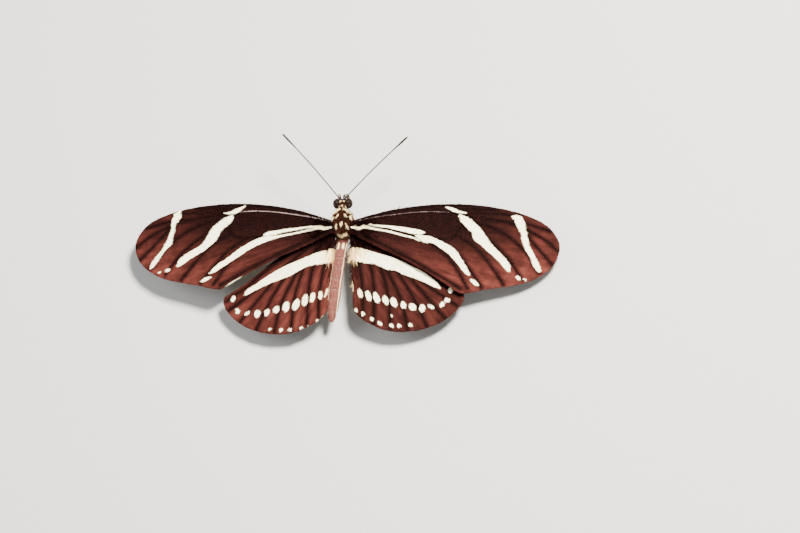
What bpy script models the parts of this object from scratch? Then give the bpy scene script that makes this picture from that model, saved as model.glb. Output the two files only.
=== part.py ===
"""Zebra longwing butterfly at life size, standing with its wings spread. Head to +Y, +Z up, in metres."""

import math

import bmesh
import bpy
from mathutils import Matrix, Vector
from mathutils.geometry import delaunay_2d_cdt, intersect_point_line

MM = 0.001

# Driving dimensions
BODY_HEIGHT = 8.3 * MM
BODY_PITCH = math.radians(8.0)
PART_GAP = 0.3 * MM
SIDES = {"left": -1.0, "right": 1.0}

THORAX_HALF_WIDTH = 2.1 * MM
THORAX_HALF_HEIGHT = 2.3 * MM
THORAX_FRONT = 3.15 * MM
THORAX_BACK = -3.45 * MM
HEAD_HALF_WIDTH = 0.85 * MM
HEAD_HALF_HEIGHT = 1.18 * MM
HEAD_MIDDLE = 4.0 * MM
EYE_CENTRE = (1.15 * MM, 0.05 * MM, 0.1 * MM)
EYE_RADII = (0.84 * MM, 1.05 * MM, 1.12 * MM)
ANTENNA_LENGTH = 17.6 * MM
ANTENNA_LEAN = {"left": (-0.64, 0.76, 0.15), "right": (0.75, 0.65, 0.15)}
ANTENNA_BOW = 0.9 * MM
ANTENNA_RADIUS = 0.26 * MM
ANTENNA_CLUB_RADIUS = 0.36 * MM
ABDOMEN_LENGTH = 17.0 * MM
ABDOMEN_HALF_WIDTH = 1.28 * MM
ABDOMEN_BEND = 2.45 * MM
ABDOMEN_SEGMENTS = 8

WING_THICKNESS = 0.54 * MM
VEIN_HEIGHT = 0.12 * MM
VEIN_HALF_WIDTH = 0.28 * MM
VEIN_STEP = 2.4 * MM
MEMBRANE_STEP = 3.2 * MM
WING_REACH = 42.0 * MM
WING_SLOPE = math.tan(math.radians(2.5))
FOREWING_SAG = {"left": 2.5 * MM, "right": 4.2 * MM}
HINDWING_SAG = 4.2 * MM
FOREWING_LIFT = 1.25 * MM
HINDWING_LIFT = 0.1 * MM
FOREWING_TURN = {"left": math.radians(3.0), "right": math.radians(-3.0)}
HINDWING_TURN = {"left": math.radians(1.5), "right": math.radians(-1.5)}
FOREWING_TWIST = {"left": math.radians(8.0), "right": 0.0}
TWIST_REACH = 30.0 * MM
TWIST_AXIS_SLOPE = 0.09

FOOT_BEADS = 5

# Wing margins in millimetres from the middle of the thorax: out to the side, then forwards
FOREWING_MARGIN = (
    (0.9, 0.5), (2.2, 0.6), (6.5, 2.0), (11.0, 3.2), (18.0, 4.3), (25.0, 4.6), (31.0, 4.1),
    (36.0, 3.0), (40.0, 1.2), (42.2, -1.2), (42.9, -3.6), (42.2, -6.4), (40.3, -8.8),
    (37.2, -10.8), (33.5, -12.0), (29.0, -12.9), (25.3, -13.8), (23.4, -13.7), (20.0, -11.6),
    (13.5, -7.9), (7.0, -4.9), (2.4, -2.6), (0.9, -2.3),
)
HINDWING_MARGIN = (
    (0.9, -0.9), (2.0, -1.0), (7.0, -2.8), (13.0, -6.2), (18.5, -10.4), (22.6, -12.9),
    (24.2, -14.0), (24.2, -15.6), (23.3, -17.2), (20.8, -19.6), (17.4, -21.3), (13.3, -22.2),
    (9.4, -22.0), (6.4, -20.9), (3.8, -19.3), (2.4, -17.2), (2.1, -13.5), (1.8, -9.0),
    (1.5, -5.0), (1.3, -3.0), (0.9, -2.8),
)

# Veins in the same millimetres, each from its root or fork outwards
FOREWING_VEINS = (
    ((1.6, -0.1), (5.0, 0.7), (8.0, 1.35), (14.8, 2.4), (20.0, 2.6), (24.0, 2.25)),
    ((24.0, 2.25), (30.5, 1.4), (35.0, 0.4)),
    ((1.6, -0.5), (5.3, -0.75), (10.0, -1.65), (14.8, -2.5), (18.5, -2.8), (21.3, -2.7), (22.4, -1.9)),
    ((24.0, 2.25), (23.7, 1.4), (23.4, 0.2), (22.4, -1.9)),
    ((3.0, 0.6), (6.0, 1.5), (10.0, 2.45), (15.5, 3.4), (21.5, 3.95), (25.6, 4.1)),
    ((17.0, 2.55), (24.0, 3.4), (30.4, 3.6)),
    ((21.5, 2.5), (29.0, 2.75), (34.8, 2.65)),
    ((30.5, 1.4), (36.0, 1.0), (40.8, -0.2)),
    ((35.0, 0.4), (39.5, -1.9), (42.5, -4.3)),
    ((35.0, 0.4), (37.6, -2.9), (41.2, -6.8)),
    ((23.7, 1.4), (30.0, -0.3), (35.3, -3.9), (38.8, -8.7)),
    ((23.4, 0.2), (28.5, -2.4), (32.6, -6.0), (35.6, -10.3)),
    ((22.4, -1.9), (26.2, -4.2), (29.3, -7.6), (32.1, -11.5)),
    ((18.5, -2.7), (22.4, -5.2), (25.0, -8.2), (27.9, -12.2)),
    ((14.8, -2.4), (18.8, -4.6), (22.4, -8.0), (25.2, -12.6)),
    ((1.6, -1.5), (7.0, -3.8), (14.0, -7.2), (20.5, -10.8), (23.8, -12.7)),
)
HINDWING_VEINS = (
    ((1.6, -1.7), (6.0, -4.2), (10.4, -7.4), (16.5, -12.2), (22.8, -16.6)),
    ((1.6, -2.2), (5.0, -5.0), (7.4, -7.9), (9.2, -9.9)),
    ((10.4, -7.4), (10.3, -8.6), (9.2, -9.9)),
    ((3.0, -1.9), (7.0, -3.6), (13.5, -7.6), (19.5, -12.2), (23.4, -14.7)),
    ((10.4, -7.4), (15.5, -13.3), (20.3, -18.9)),
    ((10.3, -8.6), (14.0, -14.6), (17.0, -20.6)),
    ((9.2, -9.9), (11.9, -15.6), (13.3, -21.4)),
    ((7.4, -7.9), (9.3, -14.5), (9.9, -21.2)),
    ((5.0, -5.0), (6.4, -12.5), (6.7, -20.2)),
    ((1.7, -2.6), (3.4, -8.0), (4.3, -14.0), (4.4, -18.7)),
)

# Leg joints in millimetres: out, forwards, up and radius. The walking legs are measured from the floor.
MID_LEG = (
    (0.8, 0.8, 6.9, 0.50), (1.7, 1.2, 5.3, 0.42), (3.6, 1.7, 5.75, 0.42), (5.7, 2.2, 6.0, 0.31),
    (6.9, 2.9, 3.0, 0.30), (7.7, 3.4, 0.9, 0.26), (8.1, 3.9, 0.2, 0.28), (9.8, 6.8, 0.2, 0.26),
)
HIND_LEG = (
    (0.8, -1.7, 6.9, 0.50), (1.8, -2.6, 5.3, 0.42), (3.4, -4.4, 5.5, 0.42), (5.2, -6.3, 5.5, 0.31),
    (6.4, -8.3, 2.7, 0.30), (7.1, -9.6, 0.9, 0.26), (7.3, -10.1, 0.2, 0.28), (8.9, -13.8, 0.2, 0.26),
)
FORE_LEG = (
    (0.55, 2.2, -0.9, 0.32), (1.0, 3.1, -1.9, 0.30), (0.75, 1.8, -2.75, 0.27),
)


def clear_scene():
    for old in list(bpy.data.objects):
        bpy.data.objects.remove(old, do_unlink=True)


def painted(name, colour, roughness):
    material = bpy.data.materials.new(name)
    material.use_nodes = True
    shader = material.node_tree.nodes["Principled BSDF"]
    shader.inputs["Base Color"].default_value = (*colour, 1.0)
    shader.inputs["Roughness"].default_value = roughness
    shader.inputs["Metallic"].default_value = 0.0
    return material


def add_object(name, points, faces, parent, pivot=(0.0, 0.0, 0.0), material=None):
    """An object whose own origin is at pivot, with its faces turned outwards."""
    pivot = Vector(pivot)
    form = bmesh.new()
    corners = [form.verts.new(Vector(point) - pivot) for point in points]
    for face in faces:
        form.faces.new([corners[index] for index in face])
    bmesh.ops.recalc_face_normals(form, faces=form.faces)
    if form.calc_volume(signed=True) < 0.0:
        bmesh.ops.reverse_faces(form, faces=form.faces)
    mesh = bpy.data.meshes.new(name)
    form.to_mesh(mesh)
    form.free()
    mesh.shade_smooth()
    made = bpy.data.objects.new(name, mesh)
    bpy.context.scene.collection.objects.link(made)
    made.parent = parent
    made.location = pivot
    if material is not None:
        mesh.materials.append(material)
    return made


def curve_through(points, steps):
    """Points on a smooth curve through the given ones, steps to each stretch."""
    ends = [points[0] * 2.0 - points[1], *points, points[-1] * 2.0 - points[-2]]
    found = []
    for a, b, c, d in zip(ends, ends[1:], ends[2:], ends[3:]):
        for step in range(steps):
            t = step / steps
            found.append(
                0.5 * (2.0 * b + (c - a) * t + (2.0 * a - 5.0 * b + 4.0 * c - d) * t * t
                       + (3.0 * b - a - 3.0 * c + d) * t ** 3)
            )
    found.append(points[-1].copy())
    return found


def tube(path, half_widths, half_heights, sides, grow=0.0):
    """Points and faces of a closed tube of oval sections along a path, made larger all round by grow."""
    points, faces = [], []
    heading = (path[1] - path[0]).normalized()
    across = heading.cross(Vector((0.0, 0.0, 1.0)))
    if across.length < 0.1:
        across = heading.cross(Vector((0.0, 1.0, 0.0)))
    across.normalize()
    last = len(path) - 1
    for place, (centre, width, height) in enumerate(zip(path, half_widths, half_heights)):
        turned = (path[min(place + 1, last)] - path[max(place - 1, 0)]).normalized()
        across = heading.rotation_difference(turned) @ across
        heading = turned
        over = across.cross(heading)
        reach = grow * (place == last) - grow * (place == 0)
        for side in range(sides):
            angle = 2.0 * math.pi * (side + 0.5) / sides
            points.append(
                centre + heading * reach + across * (width + grow) * math.cos(angle)
                + over * (height + grow) * math.sin(angle)
            )
    for ring in range(last):
        for side in range(sides):
            a = ring * sides + side
            b = ring * sides + (side + 1) % sides
            faces.append((a, b, b + sides, a + sides))
    for ring, back in ((0, -1.0), (last, 1.0)):
        heading = (path[max(ring, 1)] - path[max(ring, 1) - 1]).normalized() * back
        points.append(path[ring] + heading * (0.35 * half_heights[ring] + grow))
        for side in range(sides):
            faces.append((ring * sides + side, ring * sides + (side + 1) % sides, len(points) - 1))
    return points, faces


def body_loft(sections, grow=0.0, sides=20):
    """A closed form through sections of (forwards, half width, half height, height of the middle)."""
    path = [Vector((0.0, y, z)) for y, _, _, z in sections]
    return tube(path, [s[1] for s in sections], [s[2] for s in sections], sides, grow)


def ball(centre, radii, grow=0.0, around=16, rings=10):
    form = bmesh.new()
    bmesh.ops.create_uvsphere(form, u_segments=around, v_segments=rings, radius=1.0)
    points = [
        Vector([centre[axis] + corner.co[axis] * (radii[axis] + grow) for axis in range(3)])
        for corner in form.verts
    ]
    faces = [tuple(corner.index for corner in face.verts) for face in form.faces]
    form.free()
    return points, faces


def keep_largest(mesh):
    """Only the largest closed surface stays."""
    form = bmesh.new()
    form.from_mesh(mesh)
    left = set(form.faces)
    shells = []
    while left:
        shell, edge_of = set(), [left.pop()]
        while edge_of:
            face = edge_of.pop()
            shell.add(face)
            for edge in face.edges:
                for other in edge.link_faces:
                    if other in left:
                        left.discard(other)
                        edge_of.append(other)
        shells.append(shell)
    shells.sort(key=lambda shell: sum(face.calc_area() for face in shell))
    loose = [face for shell in shells[:-1] for face in shell]
    if loose:
        bmesh.ops.delete(form, geom=loose, context="FACES")
    bmesh.ops.triangulate(form, faces=form.faces)
    form.to_mesh(mesh)
    form.free()


def apply_booleans(target):
    graph = bpy.context.evaluated_depsgraph_get()
    mesh = bpy.data.meshes.new_from_object(target.evaluated_get(graph))
    target.modifiers.clear()
    target.data = mesh
    keep_largest(mesh)
    mesh.shade_smooth()


def cut_clear(target, cutters):
    """Cuts the target back from enlarged shapes of its neighbours, which leaves the gap between them."""
    for cutter in cutters:
        cutting = target.modifiers.new("clearance", "BOOLEAN")
        cutting.operation = "DIFFERENCE"
        cutting.solver = "EXACT"
        cutting.object = cutter
    apply_booleans(target)
    for cutter in cutters:
        bpy.data.objects.remove(cutter, do_unlink=True)


def join_all(target, pieces):
    """One union of the target and its closed pieces."""
    group = bpy.data.collections.new("joined")
    bpy.context.scene.collection.children.link(group)
    for piece in pieces:
        group.objects.link(piece)
    union = target.modifiers.new("union", "BOOLEAN")
    union.operation = "UNION"
    union.solver = "EXACT"
    union.operand_type = "COLLECTION"
    union.collection = group
    apply_booleans(target)
    for piece in pieces:
        bpy.data.objects.remove(piece, do_unlink=True)
    bpy.data.collections.remove(group)


def thorax_sections():
    wide, high = THORAX_HALF_WIDTH, THORAX_HALF_HEIGHT
    front, back = THORAX_FRONT, THORAX_BACK
    return (
        (front, 0.30 * wide, 0.28 * high, 0.45 * MM),
        (front * 0.94, 0.48 * wide, 0.45 * high, 0.40 * MM),
        (front * 0.78, 0.68 * wide, 0.64 * high, 0.32 * MM),
        (front * 0.52, 0.90 * wide, 0.88 * high, 0.18 * MM),
        (front * 0.18, 1.00 * wide, 0.99 * high, 0.05 * MM),
        (back * 0.18, 1.00 * wide, 1.00 * high, 0.00 * MM),
        (back * 0.50, 0.90 * wide, 0.89 * high, -0.05 * MM),
        (back * 0.76, 0.71 * wide, 0.70 * high, -0.12 * MM),
        (back * 0.93, 0.50 * wide, 0.50 * high, -0.18 * MM),
        (back, 0.30 * wide, 0.30 * high, -0.20 * MM),
    )


def thorax_lobes(side, grow=0.0):
    """On each side a flap beside the wing root and a collar lobe behind the head."""
    wide, high = THORAX_HALF_WIDTH, THORAX_HALF_HEIGHT
    flap_place = (side * 0.56 * wide, 0.24 * THORAX_FRONT, 0.82 * high)
    collar_place = (side * 0.33 * wide, 0.76 * THORAX_FRONT, 0.53 * high)
    return [
        ball(flap_place, (0.46 * MM, 0.92 * MM, 0.36 * MM), grow, 10, 7),
        ball(collar_place, (0.64 * MM, 0.46 * MM, 0.46 * MM), grow, 10, 7),
    ]


def scutellum(grow=0.0):
    """The low shield at the back of the thorax."""
    place = (0.0, 0.66 * THORAX_BACK, 0.50 * THORAX_HALF_HEIGHT)
    return ball(place, (0.80 * MM, 0.62 * MM, 0.52 * MM), grow, 12, 8)


def head_sections():
    wide, high = HEAD_HALF_WIDTH, HEAD_HALF_HEIGHT
    middle = HEAD_MIDDLE
    return (
        (middle - 1.15 * MM, 0.70 * wide, 0.45 * high, 0.42 * MM),
        (middle - 0.80 * MM, 0.88 * wide, 0.66 * high, 0.40 * MM),
        (middle - 0.30 * MM, 1.00 * wide, 0.96 * high, 0.33 * MM),
        (middle + 0.30 * MM, 1.00 * wide, 1.00 * high, 0.20 * MM),
        (middle + 0.80 * MM, 0.88 * wide, 0.86 * high, 0.05 * MM),
        (middle + 1.05 * MM, 0.60 * wide, 0.60 * high, -0.03 * MM),
    )


def eye_form(side, grow=0.0):
    aside, ahead, above = EYE_CENTRE
    centre = (side * aside, HEAD_MIDDLE + ahead, 0.25 * MM + above)
    return ball(centre, EYE_RADII, grow)


def antenna_form(word, grow=0.0):
    """A thin shaft that leans forwards and outwards, and swells to a long club near its tip."""
    side = SIDES[word]
    root = Vector((side * 0.45 * MM, HEAD_MIDDLE + 0.80 * MM, 0.95 * MM))
    lean = Vector(ANTENNA_LEAN[word]).normalized()
    bow = Vector((side * 0.7, -0.7, 0.0)) * ANTENNA_BOW
    rings = 15
    path, radii = [], []
    for ring in range(rings):
        t = ring / (rings - 1)
        path.append(root + lean * ANTENNA_LENGTH * t + bow * (t * t - t))
        club = max(0.0, 1.0 - abs(t - 0.93) / 0.13)
        radii.append(ANTENNA_RADIUS + (ANTENNA_CLUB_RADIUS - ANTENNA_RADIUS) * club)
    radii[-1] = 0.55 * ANTENNA_RADIUS
    return tube(path, radii, radii, 8, grow)


def palp_form(side, grow=0.0):
    points = [
        Vector((side * x * MM, HEAD_MIDDLE + y * MM, z * MM))
        for x, y, z in ((0.62, 0.3, -0.45), (0.85, 0.95, -1.0), (0.86, 1.55, -0.75), (0.78, 2.0, 0.1))
    ]
    path = curve_through(points, 4)
    radii = [(0.34 - 0.12 * ring / len(path)) * MM for ring in range(len(path))]
    radii[-1] = 0.14 * MM
    return tube(path, radii, radii, 8, grow)


def proboscis_form():
    """The coiled tongue: a spiral that winds inwards under the head."""
    middle = Vector((0.0, HEAD_MIDDLE + 1.3 * MM, -1.75 * MM))
    turns, outer, inner, radius = 1.3, 1.35 * MM, 0.36 * MM, 0.26 * MM
    rings = 26
    path = []
    for ring in range(rings):
        t = ring / (rings - 1)
        angle = math.radians(135.0) - 2.0 * math.pi * turns * t
        away = outer + (inner - outer) * t
        path.append(middle + Vector((0.0, math.cos(angle), math.sin(angle))) * away)
    path.insert(0, path[0] + Vector((0.0, -0.4, 0.5)) * MM)
    radii = [radius] * len(path)
    return tube(path, radii, radii, 8)


def abdomen_path(rings):
    """The middle line bends to the left and sinks a little towards the tip."""
    path = []
    for ring in range(rings):
        t = ring / (rings - 1)
        path.append(
            Vector((-ABDOMEN_BEND * t * (1.25 - 0.25 * t), THORAX_BACK + 0.7 * MM - ABDOMEN_LENGTH * t,
                    -0.22 * MM - 0.85 * MM * t * t))
        )
    return path


def abdomen_form(grow=0.0):
    rings_each = 4
    rings = ABDOMEN_SEGMENTS * rings_each + 1
    radii = []
    for ring in range(rings):
        t = ring / (rings - 1)
        swell = 0.78 + 0.22 * math.sin(math.pi * min(1.0, t / 1.25)) ** 1.5
        taper = 1.0 if t < 0.72 else math.sqrt(max(0.04, 1.0 - ((t - 0.72) / 0.285) ** 2))
        step = (0.0, 0.045, 0.065, 0.06)[ring % rings_each]
        radii.append(ABDOMEN_HALF_WIDTH * swell * taper * (0.935 + step))
    return tube(abdomen_path(rings), radii, [0.97 * r for r in radii], 16, grow)


def wing_sheet_height(place, lift, sag, twist):
    """A wing droops outwards in an arch. A twist raises its rear edge and lowers its front one."""
    droop = WING_SLOPE * place.x + sag * (place.x / WING_REACH) ** 2
    share = min(1.0, place.x / TWIST_REACH)
    outwards = share * share * (3.0 - 2.0 * share)
    return lift - droop - math.tan(twist) * outwards * (place.y + TWIST_AXIS_SLOPE * place.x)


def inside(point, loop):
    found = False
    for a, b in zip(loop, loop[1:] + loop[:1]):
        if (a.y > point.y) != (b.y > point.y):
            if point.x < a.x + (b.x - a.x) * (point.y - a.y) / (b.y - a.y):
                found = not found
    return found


def near_line(point, line):
    """Distance from a point to a line of points."""
    best = math.inf
    for a, b in zip(line, line[1:]):
        spot, share = intersect_point_line(point, a, b)
        share = min(1.0, max(0.0, share))
        best = min(best, (point - a.lerp(b, share)).length)
    return best


def margin_loop(margin):
    """The margin as one closed smooth line."""
    points = [Vector((x * MM, y * MM)) for x, y in margin]
    line = curve_through([point.to_3d() for point in points], 2)
    return [point.to_2d() for point in line]


def even_line(points, step):
    """Points at about even steps along a smooth line through the given ones, which keep their places."""
    corners = [Vector((x * MM, y * MM, 0.0)) for x, y in points]
    fine = 8
    smooth = curve_through(corners, fine)
    found = [smooth[0].to_2d()]
    for place in range(len(corners) - 1):
        stretch = smooth[place * fine:(place + 1) * fine + 1]
        length = sum((b - a).length for a, b in zip(stretch, stretch[1:]))
        parts = max(1, round(length / step))
        for part in range(1, parts + 1):
            found.append(stretch[round(part * fine / parts)].to_2d())
    return found


def vein_rise(spot, lines):
    """Height of the vein ridges over the membrane at a place on the wing."""
    away = min(near_line(spot, line) for line in lines)
    return VEIN_HEIGHT * max(0.0, 1.0 - away / VEIN_HALF_WIDTH)


def wing_plan(margin, veins):
    """Places on the wing and the lines that its triangles keep: the margin, the veins and their feet."""
    loop = margin_loop(margin)
    spots = list(loop)
    edges = [(place, (place + 1) % len(loop)) for place in range(len(loop))]
    lines = [even_line(vein, VEIN_STEP) for vein in veins]
    rim = loop + loop[:1]
    crests = []

    def place_of(spot):
        for index in crests:
            if (spots[index] - spot).length < 0.15 * MM:
                return index
        crests.append(len(spots))
        spots.append(spot)
        return crests[-1]

    for line in lines:
        ids = [place_of(spot) for spot in line]
        edges += [pair for pair in zip(ids, ids[1:]) if pair[0] != pair[1]]
    feet = []
    for line in lines:
        others = [other for other in lines if other is not line]
        for before, spot, after in zip(line, line[1:], line[2:]):
            aside = (after - before).normalized().orthogonal() * VEIN_HALF_WIDTH
            for foot in (spot + aside, spot - aside):
                clear = all(near_line(foot, other) > 1.2 * VEIN_HALF_WIDTH for other in others)
                if clear and inside(foot, loop) and near_line(foot, rim) > 0.25 * MM:
                    feet.append(foot)
    spots += feet
    for column in range(1, int(44.0 * MM / MEMBRANE_STEP)):
        for row in range(-8, 3):
            spot = Vector(((column + 0.5 * (row % 2)) * MEMBRANE_STEP, row * MEMBRANE_STEP))
            free = min(near_line(spot, line) for line in lines) > 0.3 * MEMBRANE_STEP
            if free and inside(spot, loop) and near_line(spot, rim) > 0.45 * MEMBRANE_STEP:
                spots.append(spot)
    return loop, lines, spots, edges


def wing_form(margin, veins, side, turn, lift, sag, twist=0.0):
    """A membrane with its veins raised on both faces, which are split into triangles alike."""
    loop, lines, spots, edges = wing_plan(margin, veins)
    spots, _, triangles = delaunay_2d_cdt(spots, edges, [], 0, 1e-7)[:3]
    kept = []
    for triangle in triangles:
        middle = sum((spots[index] for index in triangle), Vector((0.0, 0.0))) / 3.0
        if inside(middle, loop):
            kept.append(tuple(triangle))
    turned = Matrix.Rotation(turn, 2)
    over, under = [], []
    for spot in spots:
        place = turned @ spot
        height = wing_sheet_height(place, lift, sag, twist)
        half = 0.5 * WING_THICKNESS + vein_rise(spot, lines)
        over.append(Vector((side * place.x, place.y, height + half)))
        under.append(Vector((side * place.x, place.y, height - half)))
    count = len(spots)
    faces = kept + [tuple(index + count for index in reversed(triangle)) for triangle in kept]
    used = set()
    for a, b, c in kept:
        used.update(((a, b), (b, c), (c, a)))
    for a, b in sorted(used):
        if (b, a) not in used:
            faces.append((b, a, a + count))
            faces.append((b, a + count, b + count))
    return over + under, faces


def leg_form(side, joints, standing=True):
    """A jointed leg. A standing one has a beaded foot with a flat sole."""
    path, radii = [], []
    knees = [Vector((side * x * MM, y * MM, z * MM)) for x, y, z, _ in joints]
    thick = [radius * MM for *_, radius in joints]
    ease = 0.35 * MM
    for place, (knee, radius) in enumerate(zip(knees, thick)):
        if place in (0, len(knees) - 1):
            path.append(knee)
            radii.append(radius)
            continue
        before = (knees[place - 1] - knee).normalized() * ease
        after = (knees[place + 1] - knee).normalized() * ease
        path += [knee + before, knee + (before + after) * 0.25, knee + after]
        radii += [radius] * 3
    if standing:
        heel, toe = path[-2], path[-1]
        for step in range(1, 2 * FOOT_BEADS):
            path.insert(-1, heel.lerp(toe, step / (2 * FOOT_BEADS)))
            radii.insert(-1, thick[-1] * (1.12 if step % 2 else 0.92))
    points, faces = tube(path, radii, radii, 8)
    if standing:
        for point in points:
            point.z = max(point.z, 0.0)
    return points, faces


def build():
    clear_scene()
    root = bpy.data.objects.new("whole", None)
    body = bpy.data.objects.new("body_frame", None)
    for empty in (root, body):
        bpy.context.scene.collection.objects.link(empty)
    body.parent = root
    body.location = (0.0, 0.0, BODY_HEIGHT)
    body.rotation_euler = (BODY_PITCH, 0.0, 0.0)

    fur = painted("dark_body_scales", (0.030, 0.020, 0.014), 0.75)
    belly = painted("grey_brown_abdomen", (0.075, 0.050, 0.042), 0.70)
    wing = painted("black_brown_wing", (0.026, 0.013, 0.010), 0.60)
    horn = painted("black_horn", (0.012, 0.010, 0.009), 0.45)
    facets = painted("dark_eye", (0.020, 0.012, 0.010), 0.15)

    def around(shape, name):
        """A cutter: the shape of a neighbour, enlarged by the gap."""
        cutter = add_object(name, *shape, body)
        cutter.hide_render = True
        cutter.display_type = "WIRE"
        return cutter

    def thorax_cutter():
        return around(body_loft(thorax_sections(), PART_GAP), "around_thorax")

    def head_cutter():
        return around(body_loft(head_sections(), PART_GAP), "around_head")

    thorax = add_object("thorax", *body_loft(thorax_sections()), body, material=fur)
    lobes = [scutellum(), *thorax_lobes(-1.0), *thorax_lobes(1.0)]
    join_all(thorax, [add_object("lobe", *lobe, body, material=fur) for lobe in lobes])
    head_place = (0.0, HEAD_MIDDLE, 0.25 * MM)
    head = add_object("head", *body_loft(head_sections()), body, head_place, fur)
    collars = [around(thorax_lobes(side, PART_GAP)[1], "around_collar") for side in SIDES.values()]
    cut_clear(head, [thorax_cutter(), *collars])
    abdomen = add_object("abdomen", *abdomen_form(), body, (0.0, THORAX_BACK, 0.0), belly)
    cut_clear(abdomen, [thorax_cutter(), around(scutellum(PART_GAP), "around_scutellum")])
    tongue = add_object("proboscis", *proboscis_form(), body, head_place, horn)
    cut_clear(tongue, [head_cutter()])

    for word, side in SIDES.items():
        eye = add_object("eye_" + word, *eye_form(side), body, head_place, facets)
        cut_clear(
            eye,
            [head_cutter(), thorax_cutter(), around(antenna_form(word, PART_GAP), "around_antenna"),
             around(palp_form(side, PART_GAP), "around_palp"),
             around(thorax_lobes(side, PART_GAP)[1], "around_collar")],
        )
        antenna = add_object("antenna_" + word, *antenna_form(word), body, head_place, horn)
        cut_clear(antenna, [head_cutter()])
        palp = add_object("palp_" + word, *palp_form(side), body, head_place, fur)
        cut_clear(palp, [head_cutter()])

        root_place = (side * THORAX_HALF_WIDTH, 0.0, FOREWING_LIFT)
        pose = (side, FOREWING_TURN[word], FOREWING_LIFT, FOREWING_SAG[word], FOREWING_TWIST[word])
        shape = wing_form(FOREWING_MARGIN, FOREWING_VEINS, *pose)
        forewing = add_object("forewing_" + word, *shape, body, root_place, wing)
        cut_clear(forewing, [thorax_cutter()])
        root_place = (side * THORAX_HALF_WIDTH, -2.0 * MM, HINDWING_LIFT)
        pose = (side, HINDWING_TURN[word], HINDWING_LIFT, HINDWING_SAG)
        shape = wing_form(HINDWING_MARGIN, HINDWING_VEINS, *pose)
        hindwing = add_object("hindwing_" + word, *shape, body, root_place, wing)
        cut_clear(hindwing, [thorax_cutter(), around(abdomen_form(PART_GAP), "around_abdomen")])

        foreleg = add_object("foreleg_" + word, *leg_form(side, FORE_LEG, False), body, material=horn)
        cut_clear(foreleg, [thorax_cutter()])
        for name, joints in (("midleg_", MID_LEG), ("hindleg_", HIND_LEG)):
            leg = add_object(name + word, *leg_form(side, joints), root, material=horn)
            cut_clear(leg, [thorax_cutter()])

    bpy.context.view_layer.update()
    corners = [
        made.matrix_world @ corner.co
        for made in bpy.data.objects if made.type == "MESH"
        for corner in made.data.vertices
    ]
    low = [min(corner[axis] for corner in corners) for axis in range(3)]
    high = [max(corner[axis] for corner in corners) for axis in range(3)]
    root.location = (-0.5 * (low[0] + high[0]), -0.5 * (low[1] + high[1]), -low[2])


build()
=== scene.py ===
import math

import bpy
import numpy as np
from mathutils import Matrix, Vector
from mathutils.geometry import delaunay_2d_cdt


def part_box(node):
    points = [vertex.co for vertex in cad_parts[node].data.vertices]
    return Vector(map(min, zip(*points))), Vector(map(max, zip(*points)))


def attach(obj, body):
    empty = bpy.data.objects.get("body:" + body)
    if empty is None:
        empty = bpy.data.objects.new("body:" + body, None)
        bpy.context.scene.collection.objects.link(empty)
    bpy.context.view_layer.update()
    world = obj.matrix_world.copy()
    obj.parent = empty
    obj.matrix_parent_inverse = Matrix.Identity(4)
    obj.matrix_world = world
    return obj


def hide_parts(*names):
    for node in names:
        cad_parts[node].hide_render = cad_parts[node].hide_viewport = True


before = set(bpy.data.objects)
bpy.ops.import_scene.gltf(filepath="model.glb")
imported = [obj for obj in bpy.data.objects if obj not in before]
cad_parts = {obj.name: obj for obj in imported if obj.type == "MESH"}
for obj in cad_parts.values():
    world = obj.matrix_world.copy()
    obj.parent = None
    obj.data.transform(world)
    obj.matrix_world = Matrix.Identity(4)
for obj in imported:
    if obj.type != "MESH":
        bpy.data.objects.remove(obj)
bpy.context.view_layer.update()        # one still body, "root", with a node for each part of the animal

# The stance: the axes that the whole animal is made along, in millimetres from the middle of the
# thorax, which is a little ahead of the middle of its box. The nose is pitched up, and the feet stand
# on the floor.
mm = 0.001
nose_up = math.radians(8.0)
body_height = 8.3 * mm
ahead_of_box = 0.16 * mm
thorax_low, thorax_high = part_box("thorax")
thorax_middle = Vector((
    0.5 * (thorax_low.x + thorax_high.x),
    0.5 * (thorax_low.y + thorax_high.y) + ahead_of_box,
    body_height,
))
on_body = Matrix.Translation(thorax_middle) @ Matrix.Rotation(nose_up, 4, "X") @ Matrix.Scale(mm, 4)
on_feet = Matrix.Translation((thorax_middle.x, thorax_middle.y, 0.0)) @ Matrix.Scale(mm, 4)
sides = {"left": -1.0, "right": 1.0}


def added(name, data):
    """A new object in the scene."""
    piece = bpy.data.objects.new(name, data)
    bpy.context.scene.collection.objects.link(piece)
    return piece


# The camera: from behind and above, a little to the right, through a long lens.
# One millimetre on the animal is five pixels of the 800 x 533 picture.
camera_turn = math.radians(10.0)
camera_lift = math.radians(75.0)
picture_width = 158.0 * mm
lens, film = 200.0, 36.0
body_pixel = (343.1, 223.8)
middle_pixel = (400.0, 266.5)

to_right = Vector((math.cos(camera_turn), 0.0, -math.sin(camera_turn)))
to_top = Vector((
    math.sin(camera_turn) * math.cos(camera_lift),
    math.sin(camera_lift),
    math.cos(camera_turn) * math.cos(camera_lift),
))
axes = Matrix((to_right, to_top, to_right.cross(to_top))).transposed()
camera_axes = Matrix.Rotation(nose_up, 3, "X") @ axes
pixel = picture_width / (2.0 * middle_pixel[0])
aim = Vector(((middle_pixel[0] - body_pixel[0]) * pixel, (body_pixel[1] - middle_pixel[1]) * pixel, 0.0))
aim.z = picture_width * lens / film
camera = added("camera", bpy.data.cameras.new("camera"))
camera.data.lens = lens
camera.data.sensor_width = film
camera.data.clip_start = 0.01
camera.matrix_world = Matrix.Translation(thorax_middle + camera_axes @ aim) @ camera_axes.to_4x4()
bpy.context.scene.camera = camera


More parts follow.
